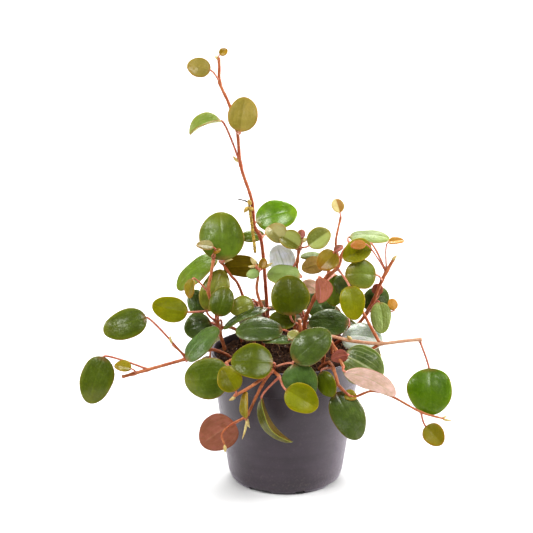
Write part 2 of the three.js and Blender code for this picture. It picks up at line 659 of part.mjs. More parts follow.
function potSolid() {
  const { height, rimRadius, cornerRadius, cornerHeight, wall, sides } = POT;
  const { footRadius, footWidth, footHeight } = POT;
  const shell = turned([
    [0, POT.floorUnderside],
    [footRadius - footWidth, POT.floorUnderside],
    [footRadius - footWidth, 0],
    [footRadius, 0],
    [footRadius + POT.footFlare, footHeight],
    [cornerRadius, cornerHeight],
    [bodyRadius, underCollar],
    [rimRadius - POT.innerTaper, underCollar],
    [rimRadius, height - POT.rimBevel],
    [rimRadius - POT.rimBevel, height],
    [rimRadius - wall, height],
    [rimRadius - wall - POT.innerTaper, underCollar + POT.innerStep],
    [bodyRadius - wall, underCollar - POT.innerStep],
    [cornerRadius - wall, cornerHeight + POT.innerStep / 2],
    [footRadius - POT.innerStep / 2, floorTop],
    [0, floorTop],
  ], sides);
  const cuts = [];
  for (let k = 0; k < FEET.quarters; k += 1) {
    const first = FEET.start + (360 / FEET.quarters) * k + FEET.first;
    const second = first + FEET.slot + FEET.second;
    const next = FEET.start + (360 / FEET.quarters) * (k + 1);
    for (const [from, to] of [[first, first + FEET.slot], [second, next]]) {
      const slot = ringSector(footRadius - footWidth - CUT_MARGIN, cornerRadius + CUT_MARGIN, from, to);
      cuts.push(prism(slot, -CUT_MARGIN, footHeight));
    }
  }
  for (let k = 0; k < POT.drains; k += 1) {
    const angle = (2 * Math.PI * k) / POT.drains;
    const hole = prism(polygon(POT.drainRadius, SIDES.drain), 0, floorTop + CUT_MARGIN);
    cuts.push(hole.translate([POT.drainCircle * Math.cos(angle), POT.drainCircle * Math.sin(angle), 0]));
  }
  const pad = prism(polygon(POT.padRadius, SIDES.pad), 0, POT.floorUnderside + wall / 2);
  return joined([shell.subtract(joined(cuts)), pad]);
}

// The soil fills the pot up to a lumpy top, a little higher in the middle.
function soilSolid() {
  const wallRadius = (height) => {
    const share = (height - POT.cornerHeight) / (underCollar - POT.cornerHeight);
    return THREE.MathUtils.lerp(POT.cornerRadius, bodyRadius, share) - POT.wall - 2 * GAP;
  };
  const edge = bodyRadius - POT.wall - 2 * GAP;
  const levels = [floorTop + GAP, POT.cornerHeight + SOIL.cornerClearance, underCollar - POT.innerStep];
  const radii = [POT.footRadius - SOIL.footClearance, wallRadius(levels[1]), wallRadius(levels[2])];
  const rows = [];
  for (let ring = 1; ring <= SOIL.rings; ring += 1) {
    const radius = (edge * ring) / SOIL.rings;
    rows.push(Array.from({ length: SOIL.sectors }, (_, k) => ringPoint(radius, k)));
  }
  for (let level = levels.length - 1; level >= 0; level -= 1) {
    const flat = (_, k) => ringPoint(radii[level], k).setZ(levels[level]);
    rows.push(Array.from({ length: SOIL.sectors }, flat));
  }
  const [top, bottom] = [soilTop(0, 0), levels[0]].map((height) => new THREE.Vector3(0, 0, height));
  const points = [top, ...rows.flat(), bottom];
  const at = (row, k) => 1 + row * SOIL.sectors + (k % SOIL.sectors);
  const faces = [];
  for (let k = 0; k < SOIL.sectors; k += 1) {
    faces.push([0, at(0, k), at(0, k + 1)]);
    faces.push([points.length - 1, at(rows.length - 1, k + 1), at(rows.length - 1, k)]);
    for (let row = 0; row + 1 < rows.length; row += 1) {
      faces.push([at(row, k), at(row + 1, k), at(row + 1, k + 1)]);
      faces.push([at(row, k), at(row + 1, k + 1), at(row, k + 1)]);
    }
  }
  const geometry = new THREE.BufferGeometry();
  geometry.setAttribute('position', new THREE.Float32BufferAttribute(points.flatMap((p) => p.toArray()), 3));
  geometry.setIndex(faces.flat());
  return shoots.reduce((soil, shoot) => soil.subtract(rootSolid(shoot, 2 * GAP)), solidOf(geometry));
}

function ringPoint(radius, k) {
  const angle = (2 * Math.PI * k) / SOIL.sectors;
  const [x, y] = [radius * Math.cos(angle), radius * Math.sin(angle)];
  return new THREE.Vector3(x, y, soilTop(x, y));
}

// ---------------------------------------------------------------- withered flower spike

// It hangs in front of the tall stem, with a dry thread at its upper end.
function spikeSolid() {
  const path = [[-21.9, 172.6, -1.2], [-20.9, 165, -0.4], [-19.6, 155, 1], [-18.6, 146, 2.4],
    [-18.4, 144.4, 2.6]];
  const thread = [[-21.9, 172.4, -1], [-23.4, 175.4, -0.6], [-29, 177, 0]];
  const bracts = [[-25.2, 168.6, -0.6], [-22.4, 176.8, 1.2], [-19.2, 170.4, 2]];
  const solids = [
    tube(new THREE.CatmullRomCurve3(path.map(place)), SPIKE.radius, SIDES.stem, 5),
    tube(new THREE.CatmullRomCurve3(thread.map(place)), SPIKE.thread, SIDES.thread, 3),
    ...bracts.map((point) => budSolid(place(path[0]), place(point), SPIKE.bract)),
  ];
  return joined(solids);
}

// ---------------------------------------------------------------- the whole plant

const group = new THREE.Group();

function addNode(name, solid, color, roughness) {
  const material = new THREE.MeshStandardMaterial({ color, roughness, metalness: 0 });
  const mesh = new THREE.Mesh(geometryOf(solid), material);
  mesh.name = name;
  group.add(mesh);
}

addNode('pot', potSolid(), COLOURS.pot, 0.6);
addNode('soil', soilSolid(), COLOURS.soil, 0.95);
for (const shoot of shoots) addNode(shoot.name, shootSolid(shoot), COLOURS.foliage, 0.4);
addNode('flower_spike', spikeSolid(), COLOURS.spike, 0.8);

export default group;
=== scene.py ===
"""Looks of the potted peperomia: thick round leaves on red stems, in a plastic nursery pot.

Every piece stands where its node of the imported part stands. Sizes are in millimetres until a mesh
is made, +Z is up, the origin is the centre of the pot's underside and the front is towards -Y.
"""

import logging
import math
from dataclasses import dataclass, field
from enum import Enum
from typing import Callable

import bpy
import numpy as np
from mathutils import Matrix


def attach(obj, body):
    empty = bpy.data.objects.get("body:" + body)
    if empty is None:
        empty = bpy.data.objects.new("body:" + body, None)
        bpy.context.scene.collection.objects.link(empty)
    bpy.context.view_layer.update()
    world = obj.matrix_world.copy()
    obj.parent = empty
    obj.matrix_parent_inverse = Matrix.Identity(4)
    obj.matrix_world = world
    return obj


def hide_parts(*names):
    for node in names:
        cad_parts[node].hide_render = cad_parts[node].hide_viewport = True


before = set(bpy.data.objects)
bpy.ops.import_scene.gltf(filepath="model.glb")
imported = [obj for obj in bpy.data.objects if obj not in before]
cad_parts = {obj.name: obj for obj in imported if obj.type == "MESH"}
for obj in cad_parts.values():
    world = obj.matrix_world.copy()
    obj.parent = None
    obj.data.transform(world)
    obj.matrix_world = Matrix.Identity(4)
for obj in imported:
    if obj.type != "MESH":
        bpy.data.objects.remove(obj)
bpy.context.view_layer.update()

LOG = logging.getLogger("potted_peperomia")
Array = np.ndarray
Colour = tuple[float, float, float, float]
Place = tuple[float, float, float]
Object, Material = bpy.types.Object, bpy.types.Material
Node, Socket, Tree = bpy.types.Node, bpy.types.NodeSocket, bpy.types.NodeTree
MM = 0.001
UP = np.array([0.0, 0.0, 1.0])
RIGHT = np.array([1.0, 0.0, 0.0])


# ---------------- the line of sight


@dataclass(frozen=True)
class Sight:
    """The eye that the front shoots were written down from, in degrees and millimetres."""

    elevation: float = 16.0
    distance: float = 1100.0
    plane_front: float = 37.6
    plane_height: float = 2.6
    aim_up: float = 136.5
    aim_left: float = 11.7

    def upward(self) -> Array:
        """The picture's upward direction."""
        angle = math.radians(self.elevation)
        return np.array([0.0, math.sin(angle), math.cos(angle)])

    def towards(self) -> Array:
        """The direction from the plant to the eye."""
        angle = math.radians(self.elevation)
        return np.array([0.0, -math.cos(angle), math.sin(angle)])

    def origin(self) -> Array:
        """The pot's front foot, which `across` and `up` are measured from."""
        return np.array([0.0, -self.plane_front, self.plane_height])

    def aim(self) -> Array:
        """The point in the middle of the picture."""
        return self.origin() - self.aim_left * RIGHT + self.aim_up * self.upward()

    def eye(self) -> Array:
        """Where the eye is."""
        return self.aim() + self.distance * self.towards()

    def place(self, across: float, up: float, front: float) -> Array:
        """The point `front` before the pot's axis on the line of sight through a picture place.

        Args:
            across: Millimetres right of the pot's axis in the picture plane.
            up: Millimetres above the pot's front foot in the picture plane.
            front: Millimetres in front of the pot's axis.

        Returns:
            The point in the part's frame.
        """
        on_plane = self.origin() + across * RIGHT + up * self.upward()
        eye = self.eye()
        share = (-front - eye[1]) / (on_plane[1] - eye[1])
        return eye + share * (on_plane - eye)

    def places(self, path: tuple[Place, ...]) -> Array:
        """The points of a path that was written down as seen."""
        return np.array([self.place(*place) for place in path])

    def in_picture(self, degrees: float) -> Array:
        """A direction in the picture plane, 0 to the right and 90 upwards."""
        angle = math.radians(degrees)
        return math.cos(angle) * RIGHT + math.sin(angle) * self.upward()


SIGHT = Sight()


# ---------------- how the plant is described


@dataclass(frozen=True)
class Curve:
    """How a leaf of one kind is curved, and the look that it has unless its plan names another.

    crown is how far it bulges as a share of its width, keel how steeply its halves fold up from
    the midrib, and arch how far its ends bend down as a share of its length.
    """

    look: str
    crown: float
    keel: float
    arch: float


class Kind(Enum):
    """The kinds of leaf."""

    OLD = Curve("old", 0.1, 0.06, 0.04)
    MATURE = Curve("mature", 0.08, 0.05, 0.03)
    OLIVE = Curve("olive", 0.06, 0.1, 0.03)
    YOUNG = Curve("young", 0.02, 0.28, 0.03)
    BRONZE = Curve("bronze", 0.02, 0.25, 0.03)
    BLUSH = Curve("blush", 0.08, 0.1, 0.06)
    RUSSET = Curve("russet", 0.08, 0.1, 0.05)
    SILVER = Curve("silver", 0.08, 0.05, 0.03)
    TIP = Curve("tip", 0.0, 0.3, 0.05)
    FOLDED = Curve("folded", 0.0, 0.5, 0.12)


OLD, MATURE, OLIVE, YOUNG, BRONZE, BLUSH, RUSSET, SILVER, TIP, FOLDED = Kind


@dataclass(frozen=True)
class LeafPlan:
    """A leaf as seen: where it starts on its stem, its middle, size, heading and tilt.

    at counts the stem's places. heading is where its tip points in the picture. tilt is the angle
    by which its upper face turns away from the viewer, towards the direction facing. tint names
    one of the LOOKS where its colours aren't its kind's.
    """

    at: float
    across: float
    up: float
    front: float
    length: float
    width: float
    heading: float
    facing: float
    tilt: float
    kind: Kind
    tint: str = ""


@dataclass(frozen=True)
class BudPlan:
    """A bud or bract: where it starts on its stem, the place of its point, and its width."""

    at: float
    across: float
    up: float
    front: float
    width: float


@dataclass(frozen=True)
class StemPlan:
    """A stem with what grows on it, in its own skin's look.

    path lists its places, cut says that its end was cut, and pale that it takes the paler skin.
    """

    radius: float
    path: tuple[Place, ...]
    leaves: tuple[LeafPlan, ...] = ()
    buds: tuple[BudPlan, ...] = ()
    branches: tuple[tuple[float, "StemPlan"], ...] = ()
    cut: bool = False
    pale: bool = False


@dataclass(frozen=True)
class ShootPlan:
    """A shoot of the front: its node, its place on the soil in plan, and its stem."""

    name: str
    root: tuple[float, float]
    stem: StemPlan


@dataclass(frozen=True)
class HabitPlan:
    """Shoots of the back that repeat round the rim, measured outwards from the pot's axis.

    path lists (outwards, height). A leaf is (at, outwards, sideways, height, length, width,
    droop, kind), with droop as its upper face's lean outwards from straight up.
    """

    name: str
    azimuths: tuple[float, ...]
    root_radius: float
    radius: float
    path: tuple[tuple[float, float], ...]
    leaves: tuple[tuple[float, float, float, float, float, float, float, Kind], ...]
    spread: float = 0.75


STANDING = HabitPlan(
    "shoot_back_standing", (62, 118), 22, 0.9,
    path=((24, 90), (30, 97), (38, 99), (46, 97)),
    leaves=(
        (1.2, 30, 9, 99, 18, 15, 15, OLD),
        (2, 34, -9, 97, 20, 16, 25, MATURE),
        (2.8, 44, 9, 100, 18, 15, 35, OLD),
        (3.5, 48, -7, 95, 15, 12, 45, OLIVE),
    ),
)
HANGING = HabitPlan(
    "shoot_back_hanging", (34, 76, 104, 146), 32, 0.9,
    path=((36, 87), (45, 87.5), (52, 82), (56, 70), (57, 60)),
    leaves=(
        (2.4, 55, 7, 85, 22, 17, 50, OLD),
        (3.2, 59, -8, 74, 21, 16, 65, MATURE),
        (4.6, 61, 3, 58, 18, 14, 75, OLIVE),
    ),
)


# ---------------- the shoots as seen


FRONT_SHOOTS: tuple[ShootPlan, ...] = (
    ShootPlan("shoot_tall", (-6, 14), StemPlan(
        radius=1,
        path=((-10, 98, -12), (-14.4, 149.4, -8), (-19, 160.6, -5), (-20.6, 176.5, -2),
              (-27, 196.7, 0), (-29.5, 219.5, 2), (-34.1, 233.8, 3), (-39.6, 246.4, 3),
              (-40, 256.5, 3), (-40.4, 262.4, 3)),
        leaves=(
            LeafPlan(5, -49.3, 221.7, 5, 20, 17, 204, 114, 63, FOLDED, "spring"),
            LeafPlan(5.9, -25.9, 227.9, 7, 21, 17.5, 82, 90, 10, OLIVE, "khaki"),
            LeafPlan(8, -52.4, 255.9, 4, 14, 12, 165, 100, 15, OLIVE, "khaki"),
            LeafPlan(10, -37.5, 265.2, 4, 5.4, 4.8, 40, 90, 15, TIP),
            LeafPlan(2.5, -5.5, 167, -14, 26, 20, 20, 80, 25, OLD, "sap"),
            LeafPlan(2.2, -20.4, 154.8, -15, 15, 10, 195, 90, 40, MATURE),
        ),
        buds=(
            BudPlan(9.6, -42.9, 262.6, 3, 1.8),
            BudPlan(5.1, -31.9, 203, 1.5, 1.8),
        ),
    )),
    ShootPlan("shoot_left_crown", (-19, 11), StemPlan(
        radius=0.9,
        path=((-21.6, 105.6, -11), (-25.5, 117.6, -11), (-29.1, 126.6, -9), (-32.8, 130.8, -7),
              (-37.6, 137.6, -6), (-40.2, 140.1, -5)),
        leaves=(
            LeafPlan(6, -38.6, 155, -9, 30, 27, 95, 90, 12, MATURE),
            LeafPlan(5.6, -54, 133.2, -14, 31, 23, 219, 130, 55, OLD, "mature"),
        ),
        buds=(BudPlan(5.2, -31.6, 140.8, -3, 2),),
    )),
    ShootPlan("shoot_left_upright", (-37, 5), StemPlan(
        radius=1,
        path=((-40.4, 99, -5), (-42.2, 109.4, -3), (-46.5, 121.1, 0), (-45, 131.5, 1),
              (-43.2, 141.8, 1)),
        leaves=(
            LeafPlan(5, -48.7, 148.9, 3, 10.5, 8, 165, 90, 45, YOUNG, "pale"),
            LeafPlan(5, -41.4, 145.8, 3, 5.5, 3.5, 50, 90, 40, TIP),
            LeafPlan(3, -57.2, 123.2, 6, 12, 9, 250, 180, 45, YOUNG),
            LeafPlan(2.1, -69.7, 111.3, 2, 22, 16, 169, 250, 15, YOUNG, "lime"),
            LeafPlan(1.6, -38.3, 115.6, 7, 18.5, 15, 75, 90, 10, MATURE),
            LeafPlan(1.4, -42.6, 122.4, -6, 27, 17, 70, 90, 10, OLIVE, "leafy"),
            LeafPlan(0.8, -52.9, 100.4, -4, 17, 17, 200, 90, 15, OLD, "deep"),
            LeafPlan(1.2, -53.4, 115.2, -13, 17, 12, 100, 90, 20, OLD, "deep"),
        ),
    )),
    ShootPlan("shoot_left_long", (-33, -9), StemPlan(
        radius=1,
        cut=True,
        path=((-44.4, 86.7, 9), (-54, 83.4, 12), (-59.7, 81.2, 13), (-81.6, 75, 15),
              (-98.3, 70.3, 16)),
        leaves=(
            LeafPlan(4.05, -113.9, 68.3, 18, 29.5, 20.5, 252, 180, 10, MATURE),
            LeafPlan(4.5, -97.9, 76.4, 18, 10.5, 9, 160, 90, 45, YOUNG),
            LeafPlan(3, -96.7, 101.7, 14, 27, 19, 200, 100, 20, MATURE),
            LeafPlan(2.6, -50.5, 90.4, 15, 27, 20, 46, 135, 52, OLD, "deep"),
        ),
        branches=((2.9, StemPlan(
            radius=0.6,
            path=((-66.6, 88.2, 15), (-68.4, 90, 14.5)),
            buds=(BudPlan(2, -69.6, 95.4, 14, 1.5),),
        )),),
    )),
    ShootPlan("shoot_left_rim", (-27, -20), StemPlan(
        radius=0.8,
        path=((-31.5, 81, 27), (-36.6, 78.3, 34)),
        leaves=(LeafPlan(2, -47.6, 69.5, 38, 29, 24.5, 187, 180, 20, MATURE),),
    )),
    ShootPlan("shoot_front", (-7, -30), StemPlan(
        radius=1,
        path=((-8.4, 75.5, 39.5), (-9.6, 72.8, 47), (-21.6, 64.2, 53.5), (-31.8, 58.5, 54)),
        leaves=(
            LeafPlan(1, -20.4, 79.3, 48, 24.5, 22, 178, 90, 25, OLIVE, "moss"),
            LeafPlan(1, 8.8, 67, 49, 23, 21, -68, -90, 10, OLD, "deep"),
            LeafPlan(4, -34, 69.1, 52, 16, 14.5, 118, 90, 10, YOUNG, "lime"),
        ),
        buds=(BudPlan(4, -34.3, 56.2, 54, 2),),
        branches=(
            (1.9, StemPlan(
                radius=0.9,
                path=((-14.4, 65.4, 50), (-21.6, 50.4, 52), (-23.4, 46.2, 52)),
                leaves=(
                    LeafPlan(3, -40.7, 36.4, 44, 24, 23, 215, 90, 165, RUSSET),
                    LeafPlan(3, -24.4, 53.5, 56, 15.5, 10, 85, 180, 60, YOUNG),
                ),
                buds=(
                    BudPlan(3, -21.6, 39.6, 53, 2),
                    BudPlan(2.8, -26.4, 32.6, 53, 1.5),
                ),
                branches=((3, StemPlan(
                    radius=0.6,
                    path=((-32.4, 42, 50), (-38.4, 36, 49), (-36.6, 28.8, 49)),
                    buds=(BudPlan(3, -36.6, 24.8, 49, 1.8),),
                )),),
            )),
            (1.5, StemPlan(
                radius=0.8,
                path=((-3, 69.6, 48),),
                leaves=(
                    LeafPlan(1, 9.5, 57.1, 57, 21, 17, -30, 90, 5, YOUNG, "lime"),
                    LeafPlan(1, -8.4, 42, 57, 31, 18, -53, 215, 74, FOLDED),
                ),
            )),
        ),
    )),
    ShootPlan("shoot_centre_left", (-14, 2), StemPlan(
        radius=0.9,
        path=((-12.6, 105.6, 2), (-17.4, 121.2, 4), (-16.8, 130.8, 6), (-18, 138, 6)),
        leaves=(
            LeafPlan(4, -13.8, 138.4, 8, 7, 5, 80, 90, 20, TIP),
            LeafPlan(3.4, -19.9, 132.1, 8, 8, 6.5, 200, 90, 20, MATURE, "fresh"),
            LeafPlan(3.3, -26.6, 136.2, -9, 22, 18, 188, 80, 140, RUSSET, "umber"),
            LeafPlan(1.4, -26.6, 112.5, 3, 15, 12.5, 205, 90, 15, OLIVE, "leafy"),
            LeafPlan(0.9, -24.8, 106.2, 8, 29, 20, 206, 115, 76, OLD, "deep"),
        ),
        buds=(
            BudPlan(4, -21.2, 142.2, 7, 2.6),
            BudPlan(4, -22.8, 136.6, 8, 2.2),
            BudPlan(4, -7.8, 138.8, 7, 2.6),
        ),
    )),
    ShootPlan("shoot_centre_back", (7, 16), StemPlan(
        radius=0.9,
        path=((5, 104, -13), (6.3, 133.2, -3), (7.8, 146.4, 0), (9.6, 151.8, 1)),
        leaves=(
            LeafPlan(3, -6.4, 156.6, 2, 14, 13, 125, 90, 30, FOLDED, "pale"),
            LeafPlan(3, 2.2, 152.3, 6, 14, 12.5, 145, 90, 25, FOLDED, "parted"),
            LeafPlan(4, 9.2, 156, 1, 6.5, 5, 80, 90, 30, BRONZE, "rose"),
            LeafPlan(3.2, 19.9, 153.5, 3, 15.5, 13, 37, 90, 15, YOUNG, "parted"),
            LeafPlan(2.4, -2.8, 141.2, -3, 18, 16, 110, 90, 165, SILVER),
            LeafPlan(2, -1.5, 131.4, 4, 20, 18, 170, 90, 45, MATURE, "fresh"),
        ),
        buds=(BudPlan(4, 13.2, 153.4, 3, 2.6),),
    )),
    ShootPlan("shoot_centre", (3, -4), StemPlan(
        radius=1,
        path=((5, 97, 7), (5.4, 103, 12)),
        leaves=(
            LeafPlan(2, 2.2, 119.2, 22, 24, 23, 92, 90, 8, OLIVE, "moss"),
            LeafPlan(1.6, -2.2, 104.5, 17, 16, 14, 165, 90, 35, OLIVE, "moss"),
            LeafPlan(0.8, -16.2, 98.4, 27, 28, 20, 186, 90, 45, OLD, "deep"),
            LeafPlan(0.5, -5.1, 92.4, 31, 18, 12, 190, 90, 65, OLD, "deep"),
            LeafPlan(0.8, 4.4, 95.7, 33, 8, 6.5, 60, 90, 40, BLUSH),
        ),
        branches=((0.8, StemPlan(
            radius=1,
            cut=True,
            path=((8.6, 97.8, 20), (8, 105, 22)),
        )),),
    )),
    ShootPlan("shoot_right_crown", (12, 0), StemPlan(
        radius=1.1,
        path=((11.4, 103.2, 6), (15.6, 114.6, 8), (23.4, 129, 8), (30.6, 135.6, 6),
              (33.6, 144, 2), (39, 151.2, -3)),
        leaves=(
            LeafPlan(2.9, 21.1, 122, 15, 15, 13, -84, 0, 140, FOLDED, "rose"),
            LeafPlan(4.3, 24.8, 140, 12, 14, 13, 228, 90, 15, BRONZE),
            LeafPlan(4.6, 31.6, 147.4, 9, 6.5, 4.5, 40, 90, 30, TIP, "rose"),
            LeafPlan(6, 50.2, 154.1, -9, 24, 16, -12, 90, 58, MATURE, "fresh"),
            LeafPlan(3.2, 16.2, 137, 0, 14, 12, 200, 90, 150, BLUSH, "amber olive"),
            LeafPlan(3.4, 15, 142.8, -6, 13, 8, 190, 90, 55, MATURE, "fresh"),
            LeafPlan(2.6, 29.1, 122.3, -2, 20, 14, -95, 90, 20, MATURE),
            LeafPlan(4, 39.8, 114.6, 22, 20.5, 15, -80, 90, 8, YOUNG, "lime"),
            LeafPlan(2.2, 14.4, 124.8, -2, 11, 9, 150, 90, 155, BLUSH),
        ),
        branches=((4.4, StemPlan(
            radius=0.7,
            path=((30.3, 147, 4), (30, 153, 5), (33.1, 167.3, 4)),
            leaves=(LeafPlan(3, 31, 173.1, 4, 9, 7.5, 105, 90, 20, TIP, "cream"),),
        )),),
    )),
    ShootPlan("shoot_right_tip", (29, 8), StemPlan(
        radius=1,
        cut=True,
        path=((38.4, 97, -4), (49.2, 109.8, -3), (58.2, 129.6, 1), (64.8, 141.3, 3)),
        leaves=(
            LeafPlan(3.3, 66.1, 151.7, 4, 9.5, 6, 12, 90, 45, TIP, "amber"),
            LeafPlan(3.25, 42.5, 145.6, 6, 19, 14, 215, 90, 20, YOUNG, "lime"),
            LeafPlan(3.25, 43.2, 149.4, 10, 9, 6.5, 190, 90, 30, BRONZE, "amber"),
            LeafPlan(2.9, 44.7, 131.8, 9, 18.5, 18, 178, 90, 10, OLIVE),
            LeafPlan(2, 54.2, 116.8, -9, 18, 16, 60, 90, 20, OLD, "deep"),
            LeafPlan(2.3, 54.8, 123, -3, 8, 7, 100, 90, 150, BLUSH, "rose"),
            LeafPlan(2.1, 64, 114, 2, 7.5, 6, 100, 90, 25, TIP, "amber"),
            LeafPlan(1.9, 56.9, 105.7, 8, 19, 15, -82, 0, 30, MATURE, "fresh"),
        ),
        buds=(
            BudPlan(4, 66.8, 143.4, 4, 1.8),
            BudPlan(2, 67.2, 109.4, 0, 1.6),
        ),
    )),
    ShootPlan("shoot_right_long", (16, -12), StemPlan(
        radius=1,
        pale=True,
        cut=True,
        path=((22, 94.4, 20), (39.6, 91.8, 22), (56.4, 90.3, 23), (70.2, 91.8, 25),
              (81.6, 92.9, 26)),
        leaves=(LeafPlan(5, 86.5, 61.5, 29, 28, 27, -88, 90, 8, MATURE, "sap"),),
        buds=(BudPlan(2, 36.8, 95, 24, 2.2),),
        branches=(
            (3, StemPlan(
                radius=0.9,
                path=((48, 105.6, 20), (42.6, 116.4, 16), (39.6, 121.8, 12)),
                leaves=(LeafPlan(3, 34.6, 125.4, 0, 14, 12, 120, 90, 20, OLD, "deep"),),
            )),
            (3, StemPlan(
                radius=0.9,
                path=((48, 84.6, 21),),
            )),
        ),
    )),
    ShootPlan("shoot_right_front", (22, -21), StemPlan(
        radius=1,
        path=((24, 93.6, 31), (28.8, 88.2, 38), (32.4, 80.4, 44), (34.8, 75.6, 46)),
        leaves=(
            LeafPlan(4, 51, 67.8, 52, 33, 20, -40, 72, 126, BLUSH),
            LeafPlan(2.6, 32, 82.5, 45, 10, 9, 200, 90, 150, BLUSH, "rose"),
            LeafPlan(2.2, 46.5, 77, 37, 26, 24, -30, 70, 12, OLD, "wet"),
        ),
    )),
    ShootPlan("shoot_front_right", (19, -30), StemPlan(
        radius=1,
        path=((25.8, 79, 34.5), (29.4, 72.5, 43), (31.2, 64.8, 46)),
        leaves=(
            LeafPlan(3, 37.2, 46.8, 45, 31, 20, -62, 0, 12, OLD),
            LeafPlan(1.6, 24.4, 65.9, 46, 16, 12, -60, 180, 25, MATURE, "moss"),
            LeafPlan(3, 38.6, 59.3, 42, 8, 7, -30, 90, 30, OLIVE, "amber olive"),
        ),
        branches=((2.9, StemPlan(
            radius=0.7,
            path=((39.6, 58.5, 43), (51.6, 61.8, 40), (63.6, 58.5, 39), (81, 49.2, 37),
                  (95.4, 45, 35)),
            leaves=(LeafPlan(4, 88.7, 35.3, 36, 14.5, 13, -50, 90, 15, YOUNG, "amber olive"),),
            buds=(
                BudPlan(5, 99.6, 44.2, 35, 1.4),
                BudPlan(4.9, 96.6, 47, 35, 1.2),
            ),
        )),),
    )),
    ShootPlan("shoot_front_centre", (8, -20), StemPlan(
        radius=0.9,
        path=((9, 84, 27),),
        leaves=(LeafPlan(1, 15.3, 89, 46, 27.5, 20, 42, 90, 15, OLD),),
    )),
    ShootPlan("shoot_right_low", (28, -4), StemPlan(
        radius=0.9,
        path=((27, 94, 4),),
        leaves=(
            LeafPlan(1, 25.5, 103, 8, 24, 20, 170, 90, 40, OLD, "deep"),
            LeafPlan(1, 45.8, 93.5, 8, 25, 22, -10, 90, 40, OLD, "grey highlight"),
            LeafPlan(0.8, 20.4, 114.3, -6, 20, 18, 110, 90, 25, OLD, "deep"),
        ),
    )),
)


# ---------------- finishes


EXPOSURE = 0.84
LEAF_GLOW = (0.6, 1.0, 0.2)
SKIN_GLOW = (1.0, 0.4, 0.2)
TONE_HUES = (0.493, 0.506)
TONE_VALUES = (0.92, 1.08)
GLOSS_RANGE = 0.12
UNDERSIDE_ROUGHER = 0.16
LEAF_RELIEF = 0.0006
PLASTIC_RELIEF = 0.00004


def linear(code: str) -> Colour:
    """The colour that a surface needs to look like a screen colour in the studio's light.

    The screen colour such as "8f5a3c" becomes linear light, less what the studio adds to it.
    """
    shares = np.array([int(code[k:k + 2], 16) for k in (0, 2, 4)]) / 255.0
    light = np.where(shares <= 0.04045, shares / 12.92, ((shares + 0.055) / 1.055) ** 2.4)
    light = light * EXPOSURE
    return (float(light[0]), float(light[1]), float(light[2]), 1.0)


Source = Socket | float | Colour | Place


class Wiring:
    """Adds nodes to one tree and links them."""

    def __init__(self, tree: Tree) -> None:
        """Starts on a tree."""
        self.tree = tree

    def add(self, kind: str, inputs: dict[str | int, Source] | None = None,
            **settings: object) -> Node:
        """Adds a node.

        Args:
            kind: Its type.
            inputs: What goes into its sockets, by name or number.
            **settings: Its own properties.

        Returns:
            The node.
        """
        node = self.tree.nodes.new(kind)
        for name, value in settings.items():
            setattr(node, name, value)
        self.set(node, inputs or {})
        return node

    def feed(self, socket: Socket, value: Source) -> None:
        """Links a socket to another, or sets its value."""
        if isinstance(value, Socket):
            self.tree.links.new(value, socket)
        else:
            socket.default_value = value

    def set(self, node: Node, inputs: dict[str | int, Source]) -> None:
        """Feeds a node's sockets by name or number."""
        for key, value in inputs.items():
            self.feed(node.inputs[key], value)

    def mix(self, share: Source, first: Source, second: Source) -> Socket:
        """The first colour where the share is 0, and the second where it is 1."""
        inputs = {0: share, 6: first, 7: second}
        return self.add("ShaderNodeMix", inputs, data_type="RGBA").outputs[2]

    def over(self, base: Source, mask: Source, share: Source, colour: Source) -> Socket:
        """The base with a colour laid over it, by a mask times a share."""
        return self.mix(self.times(mask, share), base, colour)

    def math(self, operation: str, first: Source, second: Source = 0.0) -> Socket:
        """One operation on two values."""
        node = self.add("ShaderNodeMath", {0: first, 1: second}, operation=operation)
        return node.outputs[0]

    def times(self, first: Source, second: Source) -> Socket:
        """The product of two values."""
        return self.math("MULTIPLY", first, second)

    def plus(self, first: Source, second: Source) -> Socket:
        """The sum of two values."""
        return self.math("ADD", first, second)

    def less(self, first: Source, second: Source) -> Socket:
        """The first value less the second."""
        return self.math("SUBTRACT", first, second)

    def span(self, value: Source, low: float, high: float, start: float = 0.0,
             end: float = 1.0) -> Socket:
        """Maps low..high to start..end on an S-shaped curve, and stays at the ends beyond."""
        node = self.add("ShaderNodeMapRange", {0: value, 1: low, 2: high, 3: start, 4: end},
                        interpolation_type="SMOOTHSTEP")
        return node.outputs[0]

    def noise(self, vector: Source, size: float, detail: float = 3.0) -> Socket:
        """Soft noise with features about `size` metres wide."""
        inputs = {"Vector": vector, "Scale": 1.0 / size, "Detail": detail}
        return self.add("ShaderNodeTexNoise", inputs).outputs[0]

    def bump(self, shader: Node, height: Source, depth: float, strength: float = 1.0) -> None:
        """Gives a shader bumps that are `depth` metres deep."""
        inputs = {"Height": height, "Distance": depth, "Strength": strength}
        self.feed(shader.inputs["Normal"], self.add("ShaderNodeBump", inputs).outputs[0])

    def place(self) -> Socket:
        """The place on the object, in metres."""
        return self.add("ShaderNodeTexCoord").outputs["Object"]

    def skin(self) -> Socket:
        """The piece's own coordinates across and along its skin."""
        return self.add("ShaderNodeUVMap", uv_map="skin").outputs[0]

    def squeezed(self, vector: Source, factors: Place) -> Socket:
        """A vector with each of its numbers multiplied."""
        return self.add("ShaderNodeVectorMath", {0: vector, 1: factors},
                        operation="MULTIPLY").outputs[0]

    def value_of(self, name: str) -> Socket:
        """One of the piece's own values."""
        return self.add("ShaderNodeAttribute", attribute_name=name).outputs["Fac"]


def new_group(name: str, outputs: dict[str, str]) -> tuple[Tree, Wiring]:
    """Starts a node group.

    Args:
        name: Its name.
        outputs: The kind of each of its outputs, by name.

    Returns:
        The group and its wiring.
    """
    tree = bpy.data.node_groups.new(name, "ShaderNodeTree")
    for title, kind in outputs.items():
        tree.interface.new_socket(name=title, in_out="OUTPUT", socket_type=kind)
    return tree, Wiring(tree)


